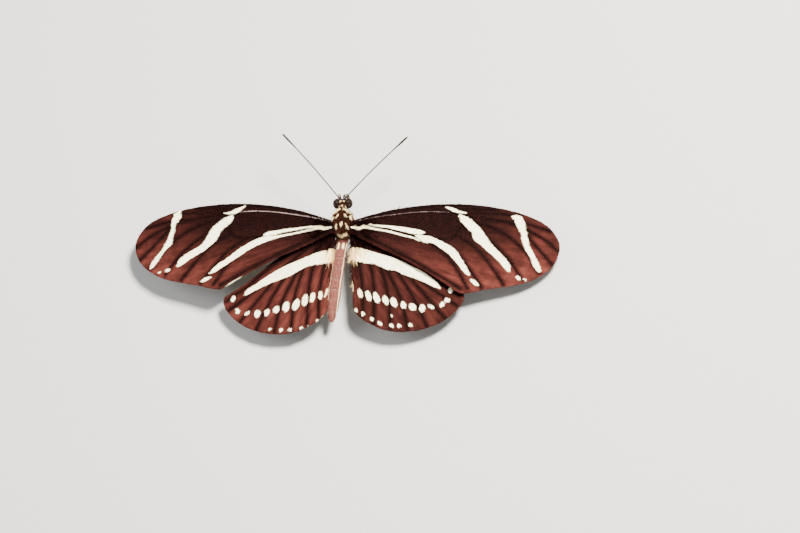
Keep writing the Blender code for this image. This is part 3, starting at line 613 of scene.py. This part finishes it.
def coat_tree():
    """Many copies of one small form rooted all over a skin, laid along its "lie" and sized by its "hair"."""
    tree, given = new_tree("coat", {
        "Skin": "Geometry", "Form": "Object", "Roots in a square millimetre": "Float", "Width": "Float",
        "Length": "Float", "Lift": "Float", "Unruly": "Float", "Seed": "Int", "Cover": "String",
        "Finish": "Material",
    })

    def named(name, kind="FLOAT"):
        return made(tree, "GeometryNodeInputNamedAttribute", {"Name": name}, data_type=kind)

    def random_number(low, high, turn):
        values = {2: low, 3: high, 8: reckoned(tree, "ADD", given["Seed"], turn)}
        return joined(tree, "FunctionNodeRandomValue", values, data_type="FLOAT").outputs[1]

    def varied(name, low, high, turn):
        return reckoned(tree, "MULTIPLY", given[name], random_number(low, high, turn))

    density = reckoned(tree, "MULTIPLY", given["Roots in a square millimetre"], named(given["Cover"]))
    roots = joined(
        tree, "GeometryNodeDistributePointsOnFaces",
        {"Mesh": given["Skin"], "Density": density, "Seed": given["Seed"]}, distribute_method="RANDOM",
    ).outputs
    upright = made(
        tree, "FunctionNodeAxesToRotation",
        {"Primary Axis": roots["Normal"], "Secondary Axis": named("lie", "FLOAT_VECTOR")},
        primary_axis="Z", secondary_axis="Y",
    )
    lift = varied("Lift", 0.6, 1.5, 1.0)
    unruly = varied("Unruly", -1.0, 1.0, 2.0)
    roll = varied("Unruly", -1.0, 1.0, 3.0)
    turned = made(tree, "ShaderNodeCombineXYZ", {0: lift, 1: roll, 2: unruly})
    turned = made(tree, "FunctionNodeEulerToRotation", {0: turned})
    laid = made(
        tree, "FunctionNodeRotateRotation", {"Rotation": upright, "Rotate By": turned},
        rotation_space="LOCAL",
    )
    wide = varied("Width", 0.75, 1.25, 4.0)
    long = reckoned(tree, "MULTIPLY", varied("Length", 0.75, 1.2, 5.0), named("hair"))
    size = made(tree, "ShaderNodeCombineXYZ", {0: wide, 1: long, 2: long})
    form = joined(tree, "GeometryNodeObjectInfo", {"Object": given["Form"]}).outputs["Geometry"]
    rooted = made(
        tree, "GeometryNodeInstanceOnPoints",
        {"Points": roots["Points"], "Instance": form, "Rotation": laid, "Scale": size},
    )
    toned = made(
        tree, "GeometryNodeStoreNamedAttribute",
        {"Geometry": rooted, "Name": "tone", "Value": random_number(0.0, 1.0, 6.0)},
        data_type="FLOAT", domain="INSTANCE",
    )
    whole = made(tree, "GeometryNodeRealizeInstances", {0: toned})
    patch = named("patch", "FLOAT_VECTOR")
    patch = made(tree, "ShaderNodeVectorMath", {0: patch, 3: patch_size}, operation="SCALE")
    root = named("root_uv", "FLOAT_VECTOR")
    patch = made(tree, "ShaderNodeVectorMath", {0: patch, 1: root}, operation="ADD")
    mapped = made(
        tree, "GeometryNodeStoreNamedAttribute", {"Geometry": whole, "Name": "OFBake", "Value": patch},
        data_type="FLOAT2", domain="CORNER",
    )
    dressed_output(tree, mapped, given["Finish"])
    return tree


def grown(name, mesh, tree, settings):
    """The tree's result on a mesh, as a plain mesh object."""
    piece = added(name, mesh.copy())
    growth = piece.modifiers.new("growth", "NODES")
    growth.node_group = tree
    for item in tree.interface.items_tree:
        if item.name in settings:
            growth[item.identifier] = settings[item.name]
    graph = bpy.context.evaluated_depsgraph_get()
    mesh = bpy.data.meshes.new_from_object(piece.evaluated_get(graph))
    piece.modifiers.clear()
    piece.data = mesh
    return piece


def coated(name, skin, form, finish, roots, width, length, lift, unruly, seed, cover="cover"):
    """A coat of small forms on an object, thick where its cover is 1."""
    return grown(name, skin.data, coat, {
        "Form": form, "Finish": finish, "Roots in a square millimetre": roots, "Width": width,
        "Length": length, "Lift": lift, "Unruly": unruly, "Seed": seed, "Cover": cover,
    })


def small_form(name, places, faces):
    """One form that a coat repeats. Its patch is its own flat outline, for the map of the coat."""
    patch = [(x, y - 0.5, 0.0) for x, y, _ in places]
    form = new_object(name, places, faces, {"patch": patch}, wing_scales)
    form.data.shade_flat()
    form.hide_render = True
    return form


coat = coat_tree()
tile = small_form(
    "tile",
    ((0.0, 0.0, 0.0), (0.5, 0.55, 0.0), (0.0, 1.0, 0.01), (-0.5, 0.55, 0.0), (0.0, 0.5, -0.04)),
    ((0, 1, 3), (1, 2, 3), (0, 4, 1), (1, 4, 2), (2, 4, 3), (3, 4, 0)),
)
lock = small_form(
    "lock",
    ((-0.5, 0.0, 0.0), (0.5, 0.0, 0.0), (0.0, 0.0, 0.10), (-0.36, 0.5, 0.06), (0.36, 0.5, 0.06),
     (0.0, 0.5, 0.14), (0.0, 1.0, 0.0)),
    ((0, 1, 2), (0, 4, 1), (0, 3, 4), (1, 5, 2), (1, 4, 5), (2, 3, 0), (2, 5, 3), (3, 6, 4), (4, 6, 5),
     (5, 6, 3)),
)
for number, (node, sheet) in enumerate(wing_sheets.items()):
    scales = coated(
        node + "_scales", sheet, tile, wing_scales,
        roots=26.0, width=0.22, length=0.36, lift=0.04, unruly=0.10, seed=11 + number,
    )
    finished(scales, on_body, "wing")
    for cover, length, lift in (("root", 0.95, 0.09), ("inner", 1.8, 0.05)):
        hairs = coated(
            f"{node}_{cover}_hairs", sheet, lock, wing_scales,
            roots=22.0, width=0.045, length=length, lift=lift, unruly=0.20, seed=21 + number, cover=cover,
        )
        if hairs.data.vertices:
            finished(hairs, on_body, "wing")
        else:
            bpy.data.objects.remove(hairs)
    finished(sheet, on_body, "wing", node)


# The body: head, thorax and abdomen are thin dark plates under one skin of scales and short hair.
# It is one surface from the face to the tail, with lobes behind the head, flaps over the wing roots,
# a shield at the back of the thorax and a step at each ring of the abdomen.
head_middle = 4.0
body_stations = (
    (5.12, 0.06, 0.08, -0.05), (5.02, 0.40, 0.44, -0.05), (4.75, 0.62, 0.78, 0.05), (4.30, 0.74, 0.98, 0.18),
    (3.80, 0.76, 1.02, 0.30), (3.40, 0.68, 0.88, 0.38), (3.12, 0.60, 0.74, 0.42), (2.90, 0.76, 0.86, 0.41),
    (2.60, 1.08, 1.14, 0.36), (2.10, 1.43, 1.51, 0.27), (1.55, 1.68, 1.82, 0.18), (0.57, 1.90, 2.08, 0.06),
    (-0.60, 1.90, 2.10, 0.00), (-1.70, 1.66, 1.84, -0.05), (-2.55, 1.24, 1.36, -0.12),
    (-3.05, 0.98, 1.04, -0.18), (-3.45, 0.92, 0.94, -0.22),
)
abdomen_start, abdomen_length, abdomen_half = -2.75, 17.0, 1.20
abdomen_rings, abdomen_bend = 8, 2.45
ring_step = 0.13
around = 72
ring_edge, belly_brown = (0.30, 0.25, 0.20), (0.45, 0.38, 0.27)
# How long the fur is: backwards from the middle, and the share of its full length
fur_lengths = (
    (-5.1, 0.35), (-4.5, 0.5), (-3.0, 0.85), (-2.2, 1.0), (2.2, 1.0), (3.4, 0.7), (4.6, 0.42), (19.7, 0.3),
)

# The raised parts: degrees from the top, forwards, reach round and along, and height
lobes = (
    (32.0, 2.35, 0.55, 0.42, 0.26), (52.0, 0.85, 0.42, 0.95, 0.26), (0.0, -2.15, 0.75, 0.50, 0.20),
    (88.0, 1.6, 0.6, 0.7, 0.12), (96.0, -0.3, 0.6, 0.9, 0.12), (98.0, -1.9, 0.5, 0.6, 0.10),
)
# The cream marks: both ends as degrees from the top and forwards, and half a width
marks = (
    (-16.0, 3.40, 16.0, 3.40, 0.10), (20.0, 4.45, 28.0, 4.40, 0.13), (60.0, 3.65, 74.0, 3.35, 0.15),
    (20.0, 2.62, 42.0, 2.22, 0.16), (22.0, 1.35, 27.0, 1.15, 0.17), (56.0, 3.4, 66.0, 2.2, 0.13),
    (66.0, 2.2, 62.0, 1.35, 0.13), (50.0, 1.05, 55.0, 0.65, 0.16), (1.0, -0.35, -1.0, -0.60, 0.26),
    (30.0, -0.55, 36.0, -0.95, 0.19), (0.5, -2.70, 40.0, -2.20, 0.13),
    (28.0, -4.25, 32.0, -5.05, 0.22), (90.0, 1.9, 104.0, 1.2, 0.20), (96.0, -0.2, 112.0, -0.6, 0.22),
    (98.0, -1.8, 112.0, -2.0, 0.18), (78.0, -4.0, 82.0, -18.2, 0.11), (130.0, 3.0, 136.0, 1.6, 0.22),
    (150.0, 4.2, 150.0, 3.2, 0.20),
)


def abdomen_station(share):
    """Forwards, half width, half height, height of the middle, and the share of the abdomen."""
    swell = 0.78 + 0.22 * math.sin(math.pi * min(1.0, share / 1.25)) ** 1.5
    taper = 1.0 if share < 0.72 else math.sqrt(max(0.003, 1.0 - ((share - 0.72) / 0.285) ** 2))
    wide = abdomen_half * swell * taper
    return abdomen_start - abdomen_length * share, wide, 0.97 * wide, -0.22 - 0.85 * share * share, share


def groove(off, depth, half, over=1.0):
    """How deep a rounded groove is at a distance off its line."""
    return depth * over * np.exp(-(off / half) ** 2)


def tube_faces(rings, around, backwards=False):
    """The faces of a closed tube of rings, for rings that run forwards or backwards along it."""
    faces = []
    for row in range(rings - 1):
        for spot in range(around):
            a, b = row * around + spot, row * around + (spot + 1) % around
            faces.append((a, a + around, b + around, b) if backwards else (a, b, b + around, a + around))
    first, last = range(around), range((rings - 1) * around, rings * around)
    ends = (first, last[::-1]) if backwards else (first[::-1], last)
    return faces + [tuple(end) for end in ends]


def body_skin(material):
    rows = [(*station, 0.0) for station in smooth_line(body_stations, ring_step)]
    start = (rows[-1][0] - 0.5 * ring_step - abdomen_start) / -abdomen_length
    rows += [abdomen_station(share) for share in np.arange(start, 0.998, ring_step / abdomen_length)]
    rows = np.array(rows)
    back = np.clip((abdomen_start - rows[:, 0]) / abdomen_length, -0.02, 1.0)
    bend = np.clip((-2.0 - rows[:, 0]) / 2.0, 0.0, 1.0)
    aside = -abdomen_bend * back * bend * (1.25 - 0.25 * rows[:, 4])
    turns = np.arange(around) / around * 2.0 * math.pi - math.pi
    turn = np.tile(turns, len(rows))
    y, wide, high, z, share = np.repeat(rows, around, axis=0).T
    size = np.hypot(wide * np.sin(turn), high * np.cos(turn))
    rise = np.zeros(len(turn))
    for degrees, forwards, reach_round, reach_along, height in lobes:
        for way in (-1.0, 1.0) if degrees else (1.0,):
            off = (turn - way * math.radians(degrees)) * size / reach_round
            bump = np.exp(-(off ** 2 + ((y - forwards) / reach_along) ** 2) ** 1.5)
            rise = np.maximum(rise, height * bump)
    top = np.clip(np.cos(turn), 0.0, 1.0)
    rise -= groove(turn * size, 0.07, 0.10, top) * ((y > -1.3) & (y < 1.9))
    rise -= groove(y + 1.52 + 0.22 * np.abs(turn), 0.10, 0.10, top)
    rise -= groove(y - 1.95 + 0.25 * np.abs(turn), 0.08, 0.09) * (np.abs(turn) > 0.15)
    ring = (share * abdomen_rings) % 1.0
    rise -= np.where(share > 0.06, groove(ring, 0.10, 0.16) + groove(1.0 - ring, 0.03, 0.05), 0.0)
    rise -= np.where(share > 0.0, groove(np.abs(turn) - 1.75, 0.05, 0.10), 0.0)
    x = np.repeat(aside, around) + (wide + rise) * np.sin(turn)
    places = np.stack((x, y, z + (high + rise) * np.cos(turn)), 1)
    mark = np.full(len(turn), -far_off)
    round_top = np.stack((turn * size, y), 1)
    girths = np.hypot(rows[:, 1], rows[:, 2]) * 0.71
    for first, ahead, second, behind, half in marks:
        for way in (-1.0, 1.0) if first + second else (1.0,):
            line = [(np.radians(way * degrees) * np.interp(-spot, -rows[:, 0], girths), spot)
                    for degrees, spot in ((first, ahead), (second, behind))]
            mark = np.maximum(mark, half - gap_to(round_top, np.array(line))[0])
    hair = np.interp(-y, *np.transpose(fur_lengths))
    cover = np.where(share > 0.03, 0.8, 1.0)
    values = {
        "mark": mark, "grey": np.clip(share * 8.0, 0.0, 1.0), "hair": hair, "cover": cover,
        "ring": np.where(share > 0.06, ring, 0.5), "below": np.abs(turn) / math.pi,
        "lie": np.stack((0.25 * np.sin(turn), -np.ones(len(turn)), 0.1 * np.cos(turn)), 1),
        "root_uv": np.stack((turn / (2.0 * math.pi) * 0.96 + 0.5, (y + 20.5) / 27.0, np.zeros(len(turn))), 1),
    }
    return new_object("body_skin", places, tube_faces(len(rows), around, True), values, material)


def body_finish(name, dark, grey, cream):
    """Dark scales with cream marks on head and thorax, and a greyer abdomen with pale ring edges."""
    material, tree, shader, place = new_material(name)
    cloud = mottle(tree, place, 3500.0)
    fine = mottle(tree, place, 14000.0, 2.0, 0.6)
    ragged = reckoned(tree, "SUBTRACT", mottle(tree, place, 5500.0, 4.0, 0.75), 0.5)
    edge = reckoned(tree, "MULTIPLY_ADD", ragged, 0.55, written(tree, "mark"))
    base = tinted(tree, written(tree, "grey"), dark, grey)
    base = tinted(tree, eased(tree, cloud, 0.45, 0.62, 0.0, 0.6), base, scaled(dark, 2.2))
    base = tinted(tree, eased(tree, written(tree, "ring"), 0.12, 0.0, 0.0, 0.35), base, ring_edge)
    belly = eased(tree, written(tree, "below"), 0.62, 0.82, 0.0, 0.65)
    base = tinted(tree, reckoned(tree, "MULTIPLY", belly, written(tree, "grey")), base, belly_brown)
    coloured(tree, shader, tinted(tree, eased(tree, edge, -0.05, 0.05), base, cream), 0.6, 0.05)
    raised(tree, shader, reckoned(tree, "ADD", cloud, fine), 0.05 * mm, 0.4)
    return material


body_scales = body_finish("body_scales", (0.010, 0.0028, 0.0012), (0.160, 0.055, 0.043), (0.90, 0.68, 0.38))
body_hair = body_finish("body_hair", (0.019, 0.0052, 0.0022), (0.230, 0.084, 0.065), (0.93, 0.72, 0.42))
skin = body_skin(body_scales)
fur = coated(
    "body_fur", skin, lock, body_hair, roots=42.0, width=0.065, length=0.72, lift=0.36, unruly=0.35, seed=5,
)
finished(skin, on_body, "body", "thorax", "head", "abdomen")
finished(fur, on_body, "body")


# The eyes: two dark glossy domes of small six-sided facets, each raised a little, set into the sides of
# the head.
eye_place, eye_half_sizes = (1.15, head_middle + 0.05, 0.35), (0.82, 1.03, 1.10)
eye_splits, facet_rise, facet_top = 5, 0.012, 0.7


def facet_tree():
    """A ball of raised facets, stretched to the half sizes."""
    tree, given = new_tree("facets", {
        "Splits": "Int", "Half sizes": "Vector", "Facet rise": "Float", "Facet top": "Float",
        "Finish": "Material",
    })
    ball = made(tree, "GeometryNodeMeshIcoSphere", {"Radius": 1.0, "Subdivisions": given["Splits"]})
    net = made(tree, "GeometryNodeDualMesh", {"Mesh": ball})
    drawn = joined(
        tree, "GeometryNodeExtrudeMesh", {"Mesh": net, "Offset Scale": given["Facet rise"]},
    ).outputs
    domed = made(
        tree, "GeometryNodeScaleElements",
        {"Geometry": drawn["Mesh"], "Selection": drawn["Top"], "Scale": given["Facet top"]},
    )
    shaped = made(tree, "GeometryNodeTransform", {"Geometry": domed, "Scale": given["Half sizes"]})
    whole = made(tree, "GeometryNodeRealizeInstances", {0: shaped})
    dressed_output(tree, whole, given["Finish"])
    return tree


eye_finish, tree, shader, place = new_material("eye_facets")
shimmer = tinted(tree, mottle(tree, place, 900.0), (0.005, 0.0025, 0.0015), (0.016, 0.008, 0.005))
coloured(tree, shader, shimmer, 0.22, 0.12)
facets = facet_tree()
for word, side in sides.items():
    eye = grown("eye_dome_" + word, bpy.data.meshes.new("seed"), facets, {
        "Splits": eye_splits, "Half sizes": eye_half_sizes, "Facet rise": facet_rise,
        "Facet top": facet_top, "Finish": eye_finish,
    })
    aside, ahead, above = eye_place
    eye.data.transform(Matrix.Translation((side * aside, ahead, above)))
    finished(eye, on_body, "eye", "eye_" + word)


# The feelers: thin black shafts of about forty short rings, which swell to a long club near the tip.
# They are stiff horn, rooted on top of the head between the eyes.
feeler_root = (0.45, head_middle + 0.80, 0.95)
feeler_length, feeler_bow = 17.6, 0.9
feeler_lean = {"left": (-0.64, 0.76, 0.15), "right": (0.75, 0.65, 0.15)}
feeler_thick, feeler_club, club_middle, club_half = 0.12, 0.22, 0.92, 0.14
feeler_socket, feeler_tip = (0.17, 0.17, 0.14, 0.11), 0.05
feeler_ring, feeler_groove = 0.42, 0.14
map_girth = 6.5


def tube_form(joints, step, around, ring_length=0.0, ring_depth=0.0):
    """A closed tube along a smooth line through joints of place and thickness, grooved at each ring."""
    line = smooth_line(joints, step)
    path, thick = line[:, :3], line[:, 3].copy()
    along = np.concatenate(((0.0,), np.cumsum(np.linalg.norm(np.diff(path, axis=0), axis=1))))
    if ring_length:
        thick *= 1.0 - ring_depth * np.abs(2.0 * ((along / ring_length) % 1.0) - 1.0) ** 5
    ahead = np.gradient(path, axis=0)
    ahead /= np.linalg.norm(ahead, axis=1)[:, None]
    aside = np.cross(ahead[0], (0.0, 0.0, 1.0))
    if np.linalg.norm(aside) < 0.2:
        aside = np.cross(ahead[0], (0.0, 1.0, 0.0))
    turns = np.arange(around) / around * 2.0 * math.pi
    places = []
    for spot, way, half in zip(path, ahead, thick):
        aside = aside - way * (aside @ way)
        aside /= np.linalg.norm(aside)
        over = np.cross(way, aside)
        places.append(spot + half * (np.outer(np.cos(turns), aside) + np.outer(np.sin(turns), over)))
    places = np.concatenate(places)
    count = len(places)
    share = np.repeat(along / along[-1], around)
    values = {
        "hair": np.ones(count), "cover": np.ones(count), "mark": np.full(count, -far_off),
        "grey": np.zeros(count), "ring": np.full(count, 0.5), "below": np.zeros(count),
        "lie": np.repeat(ahead, around, axis=0),
        "root_uv": np.stack((np.tile(turns, len(path)) / map_girth, 0.98 * share, np.zeros(count)), 1),
    }
    return places, tube_faces(len(path), around), values


def horn_finish(name, dark, light, roughness):
    material, tree, shader, place = new_material(name)
    cloud = eased(tree, mottle(tree, place, 2500.0), 0.3, 0.8)
    coloured(tree, shader, tinted(tree, cloud, dark, light), roughness, 0.15)
    raised(tree, shader, mottle(tree, place, 9000.0), 0.02 * mm, 0.3)
    return material


horn = horn_finish("black_horn", (0.006, 0.004, 0.003), (0.022, 0.013, 0.010), 0.40)
for word, side in sides.items():
    lean = np.array(feeler_lean[word])
    lean /= np.linalg.norm(lean)
    share = np.linspace(-0.03, 1.0, 60)
    club = np.clip(1.0 - np.abs(share - club_middle) / club_half, 0.0, 1.0) ** 0.8
    thick = feeler_thick + (feeler_club - feeler_thick) * club
    thick[:4] = feeler_socket
    thick[-1] = feeler_tip
    bow = np.array((side * 0.7, -0.7, 0.0)) * feeler_bow
    root = np.array(feeler_root) * (side, 1.0, 1.0)
    path = root + np.outer(share, lean) * feeler_length + np.outer(share ** 2 - share, bow)
    form = tube_form(np.column_stack((path, thick)), 0.06, 12, feeler_ring, feeler_groove)
    finished(new_object("feeler_" + word, *form, horn), on_body, "horn", "antenna_" + word)


# The palps and the tongue: the palps are two short feelers in front of the face, thick with scaly hair.
# The tongue is a thin ringed tube, coiled under them.
palp_joints = (
    (0.50, head_middle + 0.15, -0.25, 0.20), (0.80, head_middle + 0.80, -0.95, 0.24),
    (0.86, head_middle + 1.50, -0.78, 0.22), (0.80, head_middle + 1.85, -0.20, 0.16),
    (0.78, head_middle + 1.98, 0.02, 0.07),
)
tongue_middle, tongue_start, tongue_turns = (head_middle + 1.3, -1.75), math.radians(135.0), 1.3
tongue_reach, tongue_tightening = 1.35, 0.99
tongue_thick, tongue_thinning, tongue_root = 0.17, 0.07, 0.18

for word, side in sides.items():
    places, faces, values = tube_form(np.array(palp_joints) * (side, 1.0, 1.0, 1.0), 0.08, 14)
    # Two cream stripes run along each palp, above and below
    turn = values["root_uv"][:, 0] * map_girth
    values["mark"] = 0.04 - np.abs(np.abs(turn % 3.14 - 1.57) - 0.2) * 0.22
    palp = new_object("palp_skin_" + word, places, faces, values, body_scales)
    hairs = coated(
        "palp_hair_" + word, palp, lock, body_hair,
        roots=130.0, width=0.05, length=0.34, lift=0.35, unruly=0.3, seed=31,
    )
    finished(palp, on_body, "body", "palp_" + word)
    finished(hairs, on_body, "body")

share = np.linspace(0.0, 1.0, 40)
turn = tongue_start - 2.0 * math.pi * tongue_turns * share
away = tongue_reach - tongue_tightening * share
coil = np.stack((
    0.0 * share, tongue_middle[0] + np.cos(turn) * away, tongue_middle[1] + np.sin(turn) * away,
    tongue_thick - tongue_thinning * share,
), 1)
coil = np.vstack(((0.0, coil[0, 1] - 0.4, coil[0, 2] + 0.5, tongue_root), coil))
finished(
    new_object("tongue", *tube_form(coil, 0.04, 12, 0.16, 0.16), horn), on_body, "horn", "proboscis",
)


# The legs: thin dark horn in joints, with close scales and scattered short spines on thigh and shin.
# Four walking legs stand on long feet of five beads that end in two claws. The short front pair is folded.
walking_joints = {
    "midleg": (
        (0.8, 0.8, 6.9, 0.42), (1.7, 1.2, 5.4, 0.34), (2.6, 1.45, 5.6, 0.24), (3.9, 1.8, 5.85, 0.25),
        (5.4, 2.15, 6.0, 0.20), (5.75, 2.25, 5.85, 0.17), (6.2, 2.5, 4.8, 0.14), (6.9, 2.9, 3.0, 0.16),
        (7.7, 3.4, 0.9, 0.13), (8.0, 3.75, 0.2, 0.12),
    ),
    "hindleg": (
        (0.8, -1.7, 6.9, 0.42), (1.8, -2.6, 5.4, 0.34), (2.5, -3.3, 5.4, 0.24), (3.6, -4.6, 5.5, 0.25),
        (4.9, -6.0, 5.55, 0.20), (5.25, -6.35, 5.4, 0.17), (5.7, -7.1, 4.2, 0.14), (6.4, -8.3, 2.7, 0.16),
        (7.1, -9.6, 0.9, 0.13), (7.3, -10.0, 0.2, 0.12),
    ),
}
foot_ends = {"midleg": ((7.98, 3.7), (9.7, 6.65)), "hindleg": ((7.28, -9.95), (8.85, -13.65))}
front_joints = (
    (0.55, 2.2, -0.9, 0.20), (1.0, 3.1, -1.9, 0.17), (0.75, 1.8, -2.75, 0.12), (0.72, 1.65, -2.8, 0.05),
)
foot_beads, bead_half, bead_swell = 5, 0.075, 0.045
foot_height, foot_arch = 0.125, 0.05
# The claws: past the toe, height and thickness
claw_joints = ((-0.05, 0.13, 0.05), (0.12, 0.17, 0.045), (0.24, 0.12, 0.03), (0.28, 0.03, 0.01))
claw_spread = 0.35


def leg_piece(name, form, to_world, node, seed):
    leg = new_object(name, *form, horn)
    scales = coated(
        name + "_scales", leg, lock, body_hair,
        roots=55.0, width=0.045, length=0.17, lift=0.30, unruly=0.2, seed=seed,
    )
    spines = coated(
        name + "_spines", leg, lock, horn,
        roots=3.5, width=0.045, length=0.34, lift=0.65, unruly=0.15, seed=seed + 20,
    )
    finished(leg, to_world, "horn", node)
    finished(scales, to_world, "horn")
    finished(spines, to_world, "horn")


for number, (word, side) in enumerate(sides.items()):
    mirror = (side, 1.0, 1.0, 1.0)
    form = tube_form(np.array(front_joints) * mirror, 0.08, 12)
    leg_piece("front_leg_" + word, form, on_body, "foreleg_" + word, 50 + number)
    for name, joints in walking_joints.items():
        places, faces, values = tube_form(np.array(joints) * mirror, 0.08, 12)
        values["hair"] = np.clip(places[:, 2] - 0.1, 0.0, 1.0)
        leg_piece(f"{name}_skin_{word}", (places, faces, values), on_feet, f"{name}_{word}", 60 + number)
        heel, toe = np.array(foot_ends[name])
        share = np.linspace(0.0, 1.0, 60)
        line = heel + np.outer(share, toe - heel)
        swell = bead_half + bead_swell * ((share * foot_beads) % 1.0) ** 1.5
        high = foot_height + foot_arch * np.sin(share * math.pi)
        foot = tube_form(np.column_stack((side * line[:, 0], line[:, 1], high, swell)), 0.05, 12)
        finished(new_object(f"{name}_foot_{word}", *foot, horn), on_feet, "horn")
        way = (toe - heel) / np.linalg.norm(toe - heel)
        for hook, spread in (("inner", -claw_spread), ("outer", claw_spread)):
            lead = np.array((way[0] - spread * way[1], way[1] + spread * way[0]))
            claw = []
            for far, high, thick in claw_joints:
                x, y = toe + lead * far
                claw.append((side * x, y, high, thick))
            claw = tube_form(claw, 0.04, 8)
            finished(new_object(f"{name}_claw_{hook}_{word}", *claw, horn), on_feet, "horn")


for form in (tile, lock):
    bpy.data.objects.remove(form)
